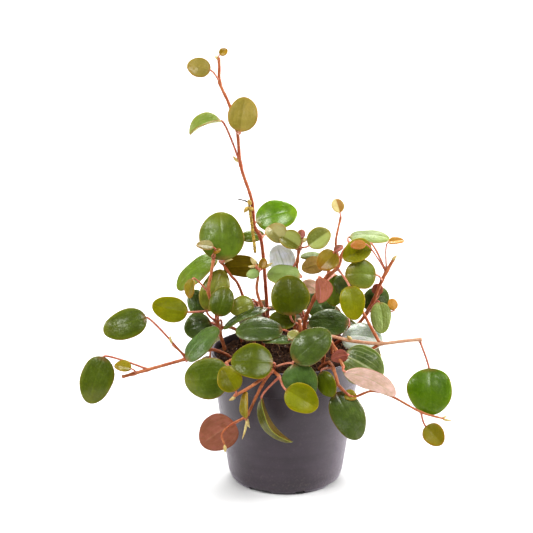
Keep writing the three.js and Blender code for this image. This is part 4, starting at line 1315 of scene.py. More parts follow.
@dataclass(frozen=True)
class LeafBuild:
    """The fine shape that all leaves share, in millimetres where it is a size."""

    stations: int = 26
    thickness: float = 1.1
    egg: float = 0.12
    fold_softness: float = 0.8
    groove_depth: float = 0.1
    groove_width: float = 0.45
    rib_depth: float = 0.3
    rib_width: float = 0.55
    margin_wave: float = 0.014
    lopsided: float = 0.03
    sway: float = 0.018
    swing: float = 0.45
    swing_most: float = 2.5
    bare_end: float = 0.15
    shares: tuple[float, ...] = (0, 0.03, 0.07, 0.13, 0.22, 0.34, 0.47, 0.6, 0.72, 0.82, 0.9,
                                 0.955, 0.985)

    def section(self) -> tuple[Array, Array]:
        """Where the points of a section lie: from -1 to 1 across, and above (1) or below (-1)."""
        inner = np.array(self.shares)
        upper = np.concatenate([[-1.0], -inner[:0:-1], inner, [1.0]])
        lower = np.concatenate([inner[::-1], -inner[1:]])
        above = np.concatenate([[0.0], np.ones(len(upper) - 2), [0.0], -np.ones(len(lower))])
        return np.concatenate([upper, lower]), above

    def stalk_radius(self, length: float) -> float:
        """A stalk's radius, thinner on a short leaf."""
        return float(np.interp(length, [5.0, 11.0, 20.0], [0.34, 0.5, 0.66]))

    def surface(self, leaf: Leaf, start: Array, seed: int, stalk: int, blade: int) -> Surface:
        """A leaf as one skin, from inside its stem, along its stalk and over its blade.

        The blade's outline is an oval, half a width times sin t, wider near the base by the egg
        share times cos t, with t from 0 at the base to pi at the tip. Its middle rises by a
        bulge (1 - l^2 - s^2) and a fold |s|, and sinks by l^2 towards both ends, with l and s
        the shares of half the length and width. The section is a flat oval with a groove above
        the midrib and a rib below it. Both sides of the outline sway a little, each in its own
        way.

        Args:
            leaf: The leaf.
            start: Where its stalk starts, inside the stem.
            seed: The number that its small irregularities are drawn from.
            stalk: The number of the stalk's finish.
            blade: The number of the blade's finish.

        Returns:
            The skin.
        """
        draw = np.random.default_rng(seed)
        phase = draw.uniform(0.0, 2.0 * np.pi, 4)
        tone = float(draw.uniform())
        curve = leaf.kind.value
        shares, above = self.section()
        radius = self.stalk_radius(leaf.length)
        turn = np.linspace(0.0, np.pi, self.stations + 1)[:-1]
        along = -0.5 * leaf.length * np.cos(turn)
        fade = 1.0 - smoothstep(0.0, 0.5, turn)
        outline = 0.5 * leaf.width * np.sin(turn) * (1.0 + self.egg * np.cos(turn))
        wave = 1.0 + self.margin_wave * np.sin(5.0 * turn[:, None] + phase[0] + 1.5 * shares)
        wave = wave + self.lopsided * shares * np.sin(2.0 * turn[:, None] + phase[3])
        aside = np.hypot(outline, radius * fade)[:, None] * shares * wave
        lengthwise = (2.0 * along / leaf.length)[:, None]
        sideways = 2.0 * aside / leaf.width
        fold = np.hypot(aside, self.fold_softness) - self.fold_softness
        height = (
            curve.crown * leaf.width * (1.0 - lengthwise**2 - sideways**2)
            + curve.keel * fold - curve.arch * leaf.length * lengthwise**2
            + self.sway * leaf.width * sideways * np.sin(3.2 * lengthwise + phase[1])
            + self.sway * leaf.width * sideways**2 * np.sin(4.0 * lengthwise + phase[2])
        )
        half = radius * fade + 0.5 * self.thickness * (1.0 - fade) * (
            1.0 - 0.4 * smoothstep(2.5, np.pi, turn))
        power = (2.0 + 4.0 * smoothstep(0.1, 0.6, turn))[:, None]
        lift = above * half[:, None] * np.sqrt(1.0 - np.abs(shares) ** power)
        grown = smoothstep(0.1, 0.5, turn)[:, None] * (1.0 - smoothstep(2.2, 3.0, turn)[:, None])
        groove = self.groove_depth * np.exp(-((aside / self.groove_width) ** 2))
        rib = self.rib_depth * np.exp(-((aside / self.rib_width) ** 2)) * (1.0 - 0.6 * lengthwise)
        lift = lift - grown * np.where(above > 0, groove, np.where(above < 0, rib, 0.0))
        middle = leaf.middle + along[:, None] * leaf.midrib
        blade_rings = (
            middle[:, None] + aside[..., None] * leaf.across
            + (height + lift)[..., None] * leaf.face
        )
        sunk = -curve.arch * leaf.length * leaf.face
        base = leaf.middle - 0.5 * leaf.length * leaf.midrib + sunk
        tip = leaf.middle + 0.5 * leaf.length * leaf.midrib + sunk
        stalk_rings, behind = self.stalk_rings(leaf, start, base, radius, shares, above)
        rings = np.concatenate([stalk_rings, blade_rings])
        reached = np.concatenate([-behind / leaf.length, 0.5 - 0.5 * np.cos(turn)])
        across = np.broadcast_to(0.5 + 0.5 * shares, rings.shape[:2])
        uv = np.stack([across, np.broadcast_to(reached[:, None], rings.shape[:2])], axis=-1)
        side = np.broadcast_to(0.5 - 0.5 * above, rings.shape[:2])
        strips = np.concatenate([np.full(len(stalk_rings), stalk), np.full(len(turn), blade)])
        return Surface(rings, np.stack([start, tip]), uv, side, tone, strips)

    def stalk_rings(self, leaf: Leaf, start: Array, base: Array, radius: float, shares: Array,
                    above: Array) -> tuple[Array, Array]:
        """Rings of the stalk, on the curve (1-q)^2 start + 2q(1-q) swing + q^2 base.

        Args:
            leaf: The leaf.
            start: Where the stalk starts.
            base: Where it meets the blade.
            radius: Its radius.
            shares: Where the ring's points lie across.
            above: Whether they lie above or below.

        Returns:
            The rings, and how far each lies from the blade.
        """
        reach = float(np.linalg.norm(base - start))
        swing = base - min(self.swing * reach, self.swing_most) * leaf.midrib
        count = int(np.clip(round(reach / 1.6), 5, 18))
        share = (np.arange(count) / count)[:, None]
        points = (1 - share) ** 2 * start + 2 * share * (1 - share) * swing + share**2 * base
        tangents = unit((1 - share) * (swing - start) + share * (base - swing))
        across = carried_axes(np.vstack([tangents, leaf.midrib]), leaf.across)[:-1]
        face = np.cross(across, tangents)
        gone = reach * share[:, 0]
        radii = radius * (1.0 + 0.45 * np.exp(-((gone / 1.6) ** 2)))
        level = above * np.sqrt(1.0 - shares**2)
        spokes = shares[:, None] * across[:, None] + level[:, None] * face[:, None]
        return points[:, None] + radii[:, None, None] * spokes, reach - gone


LEAF_BUILD = LeafBuild()


@dataclass(frozen=True)
class StemBuild:
    """The fine shape that all stems share, in millimetres where it is a size."""

    spacing: float = 1.3
    joint_swell: float = 0.32
    joint_width: float = 1.5
    taper: float = 0.28
    ripple: float = 0.05
    fullness: float = 1.05
    root_depth: float = 9.0
    root_step: float = 1.5

    def surface(self, points: Array, radius: float, joints: Array, cut: bool, seed: int,
                skin: int, pith: int) -> Surface:
        """A stem: a tube that thins towards its tip and swells at its joints.

        The radius is its own times 1 plus a bell exp(-(d/w)^2) at each joint. A grown tip is
        rounded off, and a cut one ends flat.

        Args:
            points: Stations along its middle.
            radius: Its radius.
            joints: How far along it each joint lies.
            cut: Whether its end was cut.
            seed: The number that its ripple is drawn from.
            skin: The number of its skin's finish.
            pith: The number of the finish of a cut end.

        Returns:
            The tube.
        """
        draw = np.random.default_rng(seed)
        lengths = run_lengths(points)
        share = lengths / lengths[-1]
        bells = np.exp(-(((lengths[:, None] - joints[None, :]) / self.joint_width) ** 2))
        swell = self.joint_swell * np.clip(bells.sum(axis=1), 0.0, 1.0)
        ripple = self.ripple * np.sin(lengths * 0.9 + draw.uniform(0.0, 6.0))
        taper = 0.0 if cut else self.taper * (0.5 - share)
        radii = self.fullness * radius * (1.0 + taper + swell + ripple)
        left = lengths[-1] - lengths
        if cut:
            radii = radii * (1.0 + 0.12 * np.exp(-((left / 0.8) ** 2)))
        else:
            radii = radii * np.sqrt(np.clip(0.08 + left / (1.6 * radius), 0.0, 1.0))
        surface = tube(points, radii, skin, float(draw.uniform()))
        surface.strips[-1] = pith if cut else skin
        return surface


STEM_BUILD = StemBuild()


def bud_surface(start: Array, tip: Array, width: float, seed: int, finish: int) -> Surface:
    """A bud: a drop along a bowed line, radius (w/2) sin(pi q)^0.8 (1.25 - 0.5 q).

    Args:
        start: A point inside the stem.
        tip: The bud's point.
        width: Its width.
        seed: The number that its bow is drawn from.
        finish: The number of its finish.

    Returns:
        The bud.
    """
    draw = np.random.default_rng(seed)
    share = np.linspace(0.02, 0.985, 14)
    axis = tip - start
    helper = unit(np.cross(axis, draw.normal(size=3)))
    bow = 0.12 * float(np.linalg.norm(axis)) * np.sin(np.pi * share)
    points = start + share[:, None] * axis + bow[:, None] * helper
    radii = 0.5 * width * np.sin(np.pi * share) ** 0.8 * (1.25 - 0.5 * share)
    turn = once_round(12)
    ribbed = radii[:, None] * (1.0 + 0.12 * np.cos(2.0 * turn))[None, :]
    surface = tube(points, ribbed, finish, float(draw.uniform()))
    surface.poles[1] = tip
    return surface


# ---------------- the soil's top


@dataclass(frozen=True)
class SoilTop:
    """The lumpy top of the soil: a low mound with two waves on it, as in the part."""

    rim_radius: float = 45.4
    height: float = 77.0
    mound: float = 4.0
    lump_height: float = 0.8
    crumb_height: float = 0.48

    def at(self, x: Array, y: Array) -> Array:
        """The soil's height at each plan place: height + mound (1 - r^2 / R^2) + two waves."""
        inside = np.maximum(0.0, 1.0 - (x**2 + y**2) / self.rim_radius**2)
        lump = self.lump_height * np.sin(0.55 * x + 1.3) * np.cos(0.47 * y)
        crumb = self.crumb_height * np.sin(0.9 * x - 0.8 * y)
        return self.height + self.mound * inside + lump + crumb


SOIL_TOP = SoilTop()


# ---------------- shoots


@dataclass
class Shoot:
    """One shoot: its stems, leaves and buds in one piece, for one node of the part."""

    name: str
    root: tuple[float, float]
    stem: StemPlan
    places: Array
    leaves: list[Leaf]
    seed: int
    rise: float = 1.2
    draft: MeshDraft = field(default_factory=MeshDraft)

    def build(self, finishes: Finishes) -> Object:
        """Makes the piece.

        Args:
            finishes: Where its materials come from.

        Returns:
            The piece, with one material for each finish that it uses.
        """
        x, y = self.root
        foot = np.array([x, y, float(SOIL_TOP.at(np.array(x), np.array(y))) + self.rise])
        points = np.vstack([foot, self.places])
        self.grow(self.stem, points, self.leaves, finishes, rooted=True)
        return self.draft.build(self.name + "_fine")

    def grow(self, plan: StemPlan, places: Array, leaves: list[Leaf],
             finishes: Finishes, rooted: bool = False) -> None:
        """Adds a stem and everything on it, its side branches last.

        Args:
            plan: The stem's plan.
            places: The places that it passes through, from where it starts.
            leaves: Its own leaves.
            finishes: Where its materials come from.
            rooted: Whether it starts in the soil.
        """
        known = with_ends(places)
        last = len(places) - 1.0

        def point_at(at: float) -> Array:
            """The stem's point at a count of its places, never on its very end."""
            return curve_point(known, np.array([min(at, last - LEAF_BUILD.bare_end)]))[0]

        points, counts = smooth_path(places, STEM_BUILD.spacing)
        starts = [leaf.at for leaf in leaves] + [at for at, _ in plan.branches]
        lengths = run_lengths(points)
        joints = np.interp(np.minimum(starts, last - LEAF_BUILD.bare_end), counts, lengths)
        if rooted:
            points, added = self.rooted(points)
            joints = joints + added
        skin = self.draft.number(finishes.stem(PALE_STEM if plan.pale else STEM))
        pith = self.draft.number(finishes.plain(PITH))
        self.draft.add(STEM_BUILD.surface(
            points, plan.radius, joints, plan.cut, self.next_seed(), skin, pith))
        stalk = self.draft.number(finishes.plain(STALK))
        for leaf in leaves:
            blade = self.draft.number(finishes.leaf(leaf.look))
            self.draft.add(LEAF_BUILD.surface(
                leaf, point_at(leaf.at), self.next_seed(), stalk, blade))
        for bud in plan.buds:
            tip = SIGHT.place(bud.across, bud.up, bud.front)
            self.draft.add(bud_surface(point_at(bud.at), tip, bud.width, self.next_seed(),
                                       self.draft.number(finishes.plain(BUD))))
        for at, branch in plan.branches:
            path = np.vstack([point_at(at), SIGHT.places(branch.path)])
            self.grow(branch, path, [seen_leaf(leaf) for leaf in branch.leaves], finishes)

    def rooted(self, points: Array) -> tuple[Array, float]:
        """Runs a stem's stations on into the soil, with its bend there eased.

        Each pass moves a station to a quarter, a half and a quarter of its neighbours and itself.

        Args:
            points: The stations above the soil.

        Returns:
            The longer row of stations, and how far the first has moved along it.
        """
        drop = np.arange(STEM_BUILD.root_depth, 0.0, -STEM_BUILD.root_step)
        below = points[0] - drop[:, None] * UP
        run = np.vstack([below, points])
        end = min(13, len(run) - 2)
        for _ in range(4):
            run[1:end] = 0.25 * run[:end - 1] + 0.5 * run[1:end] + 0.25 * run[2:end + 1]
        return run, STEM_BUILD.root_depth

    def next_seed(self) -> int:
        """A new seed for the next thing that grows."""
        self.seed += 1
        return self.seed

    def dress(self, piece: Object) -> None:
        """Hangs the piece on the root's empty and hides the shoot's node in the part."""
        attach(piece, "root")
        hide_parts(self.name)


def front_shoot(plan: ShootPlan, seed: int) -> Shoot:
    """A shoot of the front, from its plan."""
    leaves = [seen_leaf(leaf) for leaf in plan.stem.leaves]
    return Shoot(plan.name, plan.root, plan.stem, SIGHT.places(plan.stem.path), leaves, seed)


def back_shoots(habit: HabitPlan, seed: int) -> list[Shoot]:
    """The shoots of one habit of the back, one for each azimuth.

    Args:
        habit: The habit.
        seed: The first shoot's seed; each next one is 100 higher.

    Returns:
        The shoots in order.
    """
    shoots = []
    for number, azimuth in enumerate(np.radians(habit.azimuths)):
        out = np.array([math.cos(azimuth), math.sin(azimuth), 0.0])
        sideways = np.cross(UP, out)
        leaves = []
        for at, outwards, aside, height, length, width, droop, kind in habit.leaves:
            lean = math.radians(droop)
            face = math.cos(lean) * UP + math.sin(lean) * out
            tip = out + habit.spread * np.sign(aside) * sideways - math.sin(lean) * UP
            middle = outwards * out + aside * sideways + height * UP
            leaves.append(leaf_in_frame(at, middle, face, tip, length, width, kind))
        places = np.array([outwards * out + height * UP for outwards, height in habit.path])
        root = habit.root_radius * out
        stem = StemPlan(radius=habit.radius, path=())
        shoots.append(Shoot(f"{habit.name}_{number + 1}", (float(root[0]), float(root[1])), stem,
                            places, leaves, seed + 100 * number))
    return shoots


# ---------------- the soil


@dataclass
class Soil:
    """The potting soil: one closed body with crumbs, fibres and white grains on its top."""

    edge_radius: float = 42.2
    shoulder_height: float = 65.0
    foot_radius: float = 30.0
    foot_height: float = 4.2
    levels: int = 96
    around: int = 260
    crumbs: int = 900
    crumb_sizes: tuple[float, float] = (0.5, 1.9)
    crumb_sunk: float = 0.45
    grains: int = 34
    grain_sizes: tuple[float, float] = (0.7, 1.5)
    grain_sunk: float = 0.6
    fibres: int = 110
    fibre_lengths: tuple[float, float] = (2.5, 9.0)
    fibre_radii: tuple[float, float] = (0.1, 0.24)
    octaves: tuple[tuple[float, float], ...] = (
        (11.0, 0.5), (6.0, 0.55), (3.4, 0.5), (2.0, 0.35), (1.2, 0.22))
    seed: int = 9100
    draft: MeshDraft = field(default_factory=MeshDraft)

    def lumps(self, x: Array, y: Array) -> Array:
        """The loose top's relief in millimetres: five octaves of crossed waves.

        Each octave adds six cosines of seeded direction and phase, and takes the size of their
        sum, which gives rounded lumps with sharp clefts between them.

        Args:
            x: Plan places.
            y: Plan places.

        Returns:
            The relief, about zero on average.
        """
        draw = np.random.default_rng(self.seed)
        relief = np.zeros_like(x)
        for wavelength, height in self.octaves:
            angles, phases = draw.uniform(0.0, 2.0 * np.pi, (2, 6))
            waves = np.zeros_like(x)
            for angle, phase in zip(angles, phases):
                run = x * math.cos(angle) + y * math.sin(angle)
                waves += np.cos(2.0 * np.pi * run / wavelength + phase)
            relief += height * (0.9 - np.abs(waves) / 2.0)
        return relief

    def top(self, x: Array, y: Array) -> Array:
        """The height of the loose top at plan places."""
        inside = 1.0 - smoothstep(0.93, 1.0, np.hypot(x, y) / self.edge_radius)
        return SOIL_TOP.at(x, y) + inside * self.lumps(x, y)

    def build(self, finishes: Finishes) -> Object:
        """Makes the piece.

        Args:
            finishes: Where its materials come from.

        Returns:
            The piece.
        """
        self.add_body(self.draft.number(finishes.plain(PEAT)))
        draw = np.random.default_rng(self.seed + 1)
        self.scatter(draw, self.crumbs, self.crumb_sizes, self.crumb_sunk,
                     self.draft.number(finishes.plain(PEAT)))
        self.scatter(draw, self.grains, self.grain_sizes, self.grain_sunk,
                     self.draft.number(finishes.plain(PERLITE)))
        self.lay_fibres(draw, self.draft.number(finishes.plain(FIBRE)))
        return self.draft.build("soil_fine")

    def add_body(self, finish: int) -> None:
        """Adds the closed body, from the middle of its top out and down its side.

        Args:
            finish: The number of its finish.
        """
        turn = once_round(self.around)
        radii = self.edge_radius * (np.arange(1, self.levels + 1) / self.levels)
        x, y = radii[:, None] * np.cos(turn), radii[:, None] * np.sin(turn)
        top = np.stack([x, y, self.top(x, y)], axis=-1)
        side_radii = np.array([self.edge_radius, self.foot_radius, 0.5 * self.foot_radius])
        heights = np.array([self.shoulder_height, self.foot_height, self.foot_height])
        ring = np.stack([np.cos(turn), np.sin(turn), np.zeros_like(turn)], axis=-1)
        side = side_radii[:, None, None] * ring + heights[:, None, None] * UP
        rings = np.concatenate([top, side])
        middle = np.zeros(1)
        poles = np.array([[0.0, 0.0, self.top(middle, middle)[0]], [0.0, 0.0, self.foot_height]])
        uv = np.stack([rings[..., 0], rings[..., 1]], axis=-1)
        self.draft.add(Surface(rings, poles, uv, np.zeros(rings.shape[:2]), 0.3,
                               np.full(len(rings), finish)))

    def scatter(self, draw: np.random.Generator, count: int, sizes: tuple[float, float],
                sunk: float, finish: int) -> None:
        """Scatters small uneven lumps over the top, most of them small.

        Args:
            draw: The generator.
            count: How many there are.
            sizes: Their least and greatest width.
            sunk: How much of its radius a lump sits below the surface.
            finish: The number of their finish.
        """
        for _ in range(count):
            size = sizes[0] + (sizes[1] - sizes[0]) * draw.uniform() ** 2.5
            radius = (self.edge_radius - size) * math.sqrt(draw.uniform())
            angle = draw.uniform(0.0, 2.0 * np.pi)
            x, y = radius * math.cos(angle), radius * math.sin(angle)
            z = float(self.top(np.array([x]), np.array([y]))[0]) + (0.5 - sunk) * size * 0.6
            self.draft.add(lump(np.array([x, y, z]), size, draw, finish))

    def lay_fibres(self, draw: np.random.Generator, finish: int) -> None:
        """Lays short bent fibres on the top.

        Args:
            draw: The generator.
            finish: The number of their finish.
        """
        share = np.linspace(-1.0, 1.0, 9)
        for _ in range(self.fibres):
            length = draw.uniform(*self.fibre_lengths)
            radius = (self.edge_radius - 0.6 * length) * math.sqrt(draw.uniform())
            angle, way = draw.uniform(0.0, 2.0 * np.pi, 2)
            bend = draw.normal(0.0, 0.25)
            run = 0.5 * length * share
            aside = bend * length * (1.0 - share**2)
            x = radius * math.cos(angle) + run * math.cos(way) - aside * math.sin(way)
            y = radius * math.sin(angle) + run * math.sin(way) + aside * math.cos(way)
            lift = 0.35 + draw.uniform(0.0, 0.5) * (1.0 + share * draw.uniform(-1.0, 1.0))
            level = SOIL_TOP.at(x, y) + 0.6 * self.lumps(x, y)
            points = np.stack([x, y, level + lift], axis=-1)
            radii = draw.uniform(*self.fibre_radii) * (1.0 - 0.6 * np.abs(share) ** 3)
            self.draft.add(tube(points, radii, finish, float(draw.uniform()), around=6))

    def dress(self, piece: Object) -> None:
        """Hangs the piece on the root's empty and hides the part's soil node."""
        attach(piece, "root")
        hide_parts("soil")


def lump(middle: Array, size: float, draw: np.random.Generator, finish: int) -> Surface:
    """A small uneven lump: a flattened ball with each of its 24 points pushed in or out.

    Args:
        middle: Its middle.
        size: Its width.
        draw: The generator.
        finish: The number of its finish.

    Returns:
        The lump.
    """
    tilt = np.array([0.2, 0.42, 0.62, 0.84]) * np.pi
    turn = once_round(6) + draw.uniform(0.0, 1.0)
    ball = np.stack([np.sin(tilt)[:, None] * np.cos(turn), np.sin(tilt)[:, None] * np.sin(turn),
                     np.broadcast_to(np.cos(tilt)[:, None], (4, 6))], axis=-1)
    stretch = draw.uniform(0.6, 1.0, 3) * np.array([1.0, 1.0, 0.85])
    rings = middle + 0.5 * size * ball * stretch * draw.uniform(0.78, 1.2, (4, 6, 1))
    poles = middle + 0.45 * size * stretch * np.array([[0.0, 0.0, 1.0], [0.0, 0.0, -1.0]])
    return Surface(rings, poles, np.zeros((4, 6, 2)), np.zeros((4, 6)), float(draw.uniform()),
                   np.full(4, finish))


# ---------------- the pot


@dataclass
class Pot:
    """The nursery pot: a turned cup with a stepped collar, cut feet and drain holes."""

    floor_height: float = 2.6
    pad_radius: float = 8.0
    feet_inside: float = 27.5
    feet_outside: float = 32.0
    wall_foot: tuple[float, float] = (35.2, 6.0)
    step_height: float = 66.0
    wall_top: float = 44.1
    collar: tuple[float, float] = (45.2, 45.4)
    rim_height: float = 81.4
    wall: float = 1.3
    columns: int = 360
    wall_step: float = 2.5
    first_foot: float = -106.0
    quarter: tuple[tuple[float, bool], ...] = ((26, True), (10, False), (28, True), (26, False))
    foot_height: float = 2.2
    foot_run: float = 0.35
    drains: int = 6
    drain_circle: float = 18.0
    drain_radius: float = 3.0
    sharp_angle: float = 32.0
    draft: MeshDraft = field(default_factory=MeshDraft)

    def profile(self) -> Array:
        """The wall's (radius, height, fillet) corners, from the middle below to the middle above.

        Returns:
            The corners in order.
        """
        foot_radius, foot_top = self.wall_foot
        lower, upper = self.collar
        return np.array([
            (self.pad_radius, 0.0, 0.3),
            (self.pad_radius, self.floor_height, 0.3),
            (self.feet_inside, self.floor_height, 0.3),
            (self.feet_inside, 0.0, 0.25),
            (self.feet_outside, 0.0, 0.3),
            (foot_radius - self.wall, self.foot_height, 0.4),
            (foot_radius, foot_top, 1.6),
            (self.wall_top, self.step_height, 0.25),
            (lower, self.step_height, 0.3),
            (upper, self.rim_height - 0.6, 0.3),
            (upper - 0.6, self.rim_height, 0.3),
            (upper - self.wall, self.rim_height, 0.25),
            (lower - self.wall, self.step_height + 1.0, 0.5),
            (self.wall_top - self.wall, self.step_height - 1.0, 0.5),
            (foot_radius - self.wall, self.floor_height + 3.9, 1.2),
            (foot_radius - 3.7, self.floor_height + self.wall, 0.8),
        ])

    def stations(self) -> Array:
        """The profile with its corners rounded and its long runs divided.

        A corner becomes an arc of the curve (1-q)^2 a + 2q(1-q) corner + q^2 b, with a and b at
        the fillet's length along the two sides.

        Returns:
            The (radius, height) of each station.
        """
        corners = self.profile()
        places, fillets = corners[:, :2], corners[:, 2]
        before = np.vstack([[0.0, places[0, 1]], places[:-1]])
        after = np.vstack([places[1:], [0.0, places[-1, 1]]])
        share = np.linspace(0.0, 1.0, 5)[None, :, None]
        near = places + unit(before - places) * fillets[:, None]
        far = places + unit(after - places) * fillets[:, None]
        arcs = ((1 - share) ** 2 * near[:, None] + 2 * share * (1 - share) * places[:, None]
                + share**2 * far[:, None])
        row = [arcs[0]]
        for last, arc in zip(arcs[:-1], arcs[1:]):
            steps = int(np.linalg.norm(arc[0] - last[-1]) // self.wall_step)
            inner = np.arange(1, steps + 1)[:, None] / (steps + 1)
            row += [last[-1] + inner * (arc[0] - last[-1]), arc]
        return np.vstack(row)

    def feet(self) -> tuple[Array, Array]:
        """Where the columns stand round the pot, and whether each stands on a foot.

        Returns:
            The angles, with two close together at each end of a foot, and 1 on a foot or 0.
        """
        ends = []
        angle = self.first_foot
        for span, standing in self.quarter * 4:
            ends.append((angle, angle + span, standing))
            angle += span
        angles, standing_at = [], []
        for start, end, standing in ends:
            count = max(2, int(round((end - start) * self.columns / 360.0)))
            inner = np.linspace(start + 0.5 * self.foot_run, end - 0.5 * self.foot_run, count)
            angles.append(inner)
            standing_at.append(np.full(count, float(standing)))
        return np.radians(np.concatenate(angles)), np.concatenate(standing_at)

    def build(self, finishes: Finishes) -> Object:
        """Makes the piece: the turned cup with its feet, less the drain holes.

        Args:
            finishes: Where its material comes from.

        Returns:
            The piece.
        """
        angles, standing = self.feet()
        stations = self.stations()
        radius = np.broadcast_to(stations[:, :1], (len(stations), len(angles)))
        height = np.broadcast_to(stations[:, 1:], radius.shape)
        raised = (radius > self.pad_radius + 12.0) & (height < self.foot_height)
        height = np.where(raised & (standing < 0.5), self.foot_height, height)
        rings = np.stack([radius * np.cos(angles), radius * np.sin(angles), height], axis=-1)
        poles = np.array([[0.0, 0.0, stations[0, 1]], [0.0, 0.0, stations[-1, 1]]])
        turn = np.broadcast_to(angles / (2.0 * np.pi), radius.shape)
        uv = np.stack([turn, height / 100.0], axis=-1)
        self.draft.add(Surface(rings, poles, uv, np.zeros(radius.shape), 0.5,
                               np.full(len(rings), self.draft.number(finishes.plastic()))))
        piece = self.draft.build("pot_fine")
        self.cut_drains(piece)
        piece.data.set_sharp_from_angle(angle=math.radians(self.sharp_angle))
        return piece

    def cut_drains(self, piece: Object) -> None:
        """Cuts the drain holes through the floor, and takes the cutters away again.

        Args:
            piece: The pot.
        """
        cutters = MeshDraft()
        plastic = cutters.number(piece.data.materials[0])
        for number in range(self.drains):
            angle = 2.0 * math.pi * number / self.drains
            x, y = self.drain_circle * math.cos(angle), self.drain_circle * math.sin(angle)
            points = np.array([[x, y, 1.0], [x, y, 2.0], [x, y, 4.5], [x, y, 6.0]])
            cutters.add(tube(points, np.full(4, self.drain_radius), plastic, 0.5, around=40))
        cutter = cutters.build("drain_cutter")
        boolean = piece.modifiers.new("drains", "BOOLEAN")
        boolean.operation = "DIFFERENCE"
        boolean.solver = "MANIFOLD"
        boolean.object = cutter
        scene = bpy.context.evaluated_depsgraph_get()
        cut = bpy.data.meshes.new_from_object(piece.evaluated_get(scene))
        piece.modifiers.clear()
        whole, piece.data = piece.data, cut
        spent = cutter.data
        bpy.data.objects.remove(cutter)
        bpy.data.meshes.remove(spent)
        bpy.data.meshes.remove(whole)
        cut.name = piece.name

    def dress(self, piece: Object) -> None:
        """Hangs the piece on the root's empty and hides the part's pot node."""
        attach(piece, "root")
        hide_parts("pot")


# ---------------- the withered flower spike


@dataclass
class Spike:
    """The withered flower spike: a knobbly rod, three small bracts and a dry thread."""

    radius: float = 0.9
    row_step: float = 0.75
    path: tuple[Place, ...] = (
        (-21.9, 172.6, -1.2), (-20.9, 165, -0.4), (-19.6, 155, 1), (-18.6, 146, 2.4),
        (-18.4, 144.4, 2.6),
    )
    thread: tuple[Place, ...] = (
        (-21.9, 172.4, -1), (-23.4, 175.4, -0.6), (-29, 177, 0),
    )
    bracts: tuple[Place, ...] = (
        (-25.2, 168.6, -0.6), (-22.4, 176.8, 1.2), (-19.2, 170.4, 2),
    )
    bract_width: float = 2.4
    thread_radius: float = 0.5
    seed: int = 7300
    draft: MeshDraft = field(default_factory=MeshDraft)

    def build(self, finishes: Finishes) -> Object:
        """Makes the piece.

        Args:
            finishes: Where its materials come from.

        Returns:
            The piece.
        """
        places = SIGHT.places(self.path)
        points, _ = smooth_path(places, 0.3)
        self.draft.add(self.rod(points, self.draft.number(finishes.plain(SPIKE))))
        points, _ = smooth_path(SIGHT.places(self.thread), 0.5)
        share = np.linspace(0.0, 1.0, len(points))
        radii = self.thread_radius * (1.0 - 0.3 * share) * (1.0 + 0.12 * np.sin(17.0 * share))
        self.draft.add(tube(points, radii, self.draft.number(finishes.plain(DRY)), 0.4, around=8))
        for number, bract in enumerate(self.bracts):
            self.draft.add(bud_surface(places[0], SIGHT.place(*bract), self.bract_width,
                                       self.seed + number, self.draft.number(finishes.plain(BRACT))))
        return self.draft.build("flower_spike_fine")

    def rod(self, points: Array, finish: int) -> Surface:
        """The rod, with rows of knobs set between those of the row before.

        The radius is its own times 1 + 0.22 cos(4 turn + pi row) sin(pi row), where row counts
        the knobs along it, and it closes in at both ends.

        Args:
            points: Stations along its middle.
            finish: The number of its finish.

        Returns:
            The rod.
        """
        around = 30
        lengths = run_lengths(points)
        turn = once_round(around)
        row = lengths[:, None] / self.row_step
        knobs = np.cos(4.0 * turn[None, :] + np.pi * np.floor(row)) * np.sin(np.pi * (row % 1.0))
        left = lengths[-1] - lengths
        close = np.sqrt(np.clip(0.1 + np.minimum(lengths, left) / 1.2, 0.0, 1.0))
        radii = self.radius * close[:, None] * (1.0 + 0.22 * knobs)
        return tube(points, radii, finish, 0.5, around=around)

    def dress(self, piece: Object) -> None:
        """Hangs the piece on the root's empty and hides the part's flower spike node."""
        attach(piece, "root")
        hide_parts("flower_spike")


# ---------------- the studio


@dataclass(frozen=True)
class Softbox:
    """A square soft light: its place and aim in metres, its side and its power."""

    name: str
    place: Place
    side: float
    power: float
    aim: Place = (0.0, 0.0, 0.13)

    def build(self) -> Object:
        """Makes the light.

        Returns:
            The light, linked to the scene.
        """
        data = bpy.data.lights.new(self.name, "AREA")
        data.shape = "SQUARE"
        data.size = self.side
        data.energy = self.power
        light = bpy.data.objects.new(self.name, data)
        light.location = self.place
        light.rotation_euler = looking(np.array(self.place), np.array(self.aim))
        bpy.context.scene.collection.objects.link(light)
        return light


def looking(place: Array, aim: Array) -> Place:
    """The turn that points an object's -Z from a place to an aim, with its +Y upwards."""
    way = unit(aim - place)
    return (math.acos(-way[2]), 0.0, math.atan2(-way[0], way[1]))


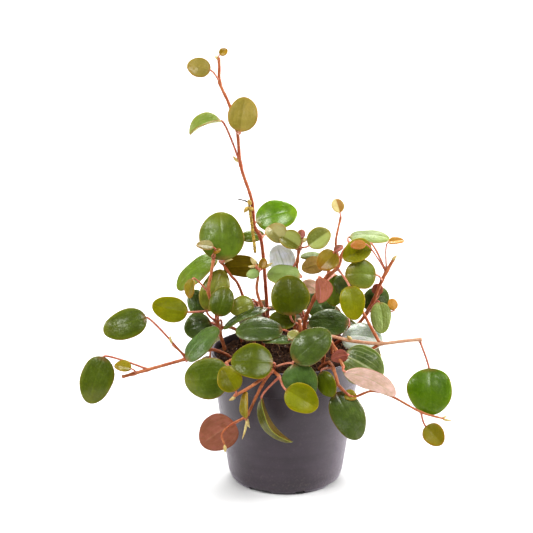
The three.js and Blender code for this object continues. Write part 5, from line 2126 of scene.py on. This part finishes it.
@dataclass
class Studio:
    """A pale floor, soft lights and the camera at the photograph's angle."""

    lens: float = 123.9
    sensor: float = 36.0
    floor_radius: float = 7.0
    sky: float = 0.16
    boxes: tuple[Softbox, ...] = (
        Softbox("left_box", (-1.1, -0.1, 0.7), 0.8, 10.0),
        Softbox("right_box", (1.15, 0.3, 0.3), 0.7, 30.0),
        Softbox("left_key", (-0.7, -0.95, 1.5), 0.75, 20.0),
        Softbox("right_key", (0.75, -0.95, 1.5), 0.7, 16.0),
        Softbox("top_box", (0.1, 1.1, 1.5), 0.7, 20.0),
        Softbox("floor_box", (0.0, 2.4, 1.9), 2.4, 100.0, (0.0, 2.0, 0.0)),
    )

    def build(self) -> None:
        """Makes the floor, the lights and the camera."""
        self.lay_floor()
        world = bpy.data.worlds.new("studio")
        world.use_nodes = True
        background = world.node_tree.nodes["Background"]
        background.inputs["Color"].default_value = (1.0, 1.0, 1.0, 1.0)
        background.inputs["Strength"].default_value = self.sky
        scene = bpy.context.scene
        scene.world = world
        scene.view_settings.view_transform = "Standard"
        scene.view_settings.look = "Medium High Contrast"
        for box in self.boxes:
            box.build()
        data = bpy.data.cameras.new("camera")
        data.lens = self.lens
        data.sensor_width = self.sensor
        camera = bpy.data.objects.new("camera", data)
        camera.location = SIGHT.eye() * MM
        camera.rotation_euler = looking(SIGHT.eye(), SIGHT.aim())
        scene.collection.objects.link(camera)
        scene.camera = camera

    def lay_floor(self) -> None:
        """Lays a round pale floor at the pot's feet, which glows faintly: painted light that lifts
        the shade round the pot.
        """
        turn = once_round(64)
        points = self.floor_radius * np.stack([np.cos(turn), np.sin(turn), 0.0 * turn], axis=1)
        mesh = bpy.data.meshes.new("floor")
        mesh.from_pydata(points.tolist(), [], [list(range(len(turn)))])
        floor = bpy.data.objects.new("floor", mesh)
        bpy.context.scene.collection.objects.link(floor)
        material = bpy.data.materials.new("floor")
        material.use_nodes = True
        shader = material.node_tree.nodes["Principled BSDF"]
        # The faint emission is painted light: the floor glows a little and lifts its own shadows.
        Wiring(material.node_tree).set(shader, {
            "Base Color": (0.57, 0.57, 0.57, 1.0), "Roughness": 0.9,
            "Emission Color": (1.0, 1.0, 1.0, 1.0), "Emission Strength": 0.02})
        mesh.materials.append(material)


def main() -> None:
    """Builds every piece in order, then the studio."""
    finishes = Finishes()
    assemblies: list[Pot | Soil | Shoot | Spike] = [Pot(), Soil()]
    assemblies += [front_shoot(plan, 1000 * (n + 1)) for n, plan in enumerate(FRONT_SHOOTS)]
    assemblies += back_shoots(STANDING, 40000) + back_shoots(HANGING, 50000)
    assemblies.append(Spike())
    for assembly in assemblies:
        piece = assembly.build(finishes)
        assembly.dress(piece)
        LOG.info("%s: %d faces, %d finishes", piece.name, len(piece.data.polygons),
                 len(piece.data.materials))
    Studio().build()
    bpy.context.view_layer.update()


if __name__ == "__main__":
    logging.basicConfig(level=logging.INFO, format="%(message)s")
    main()
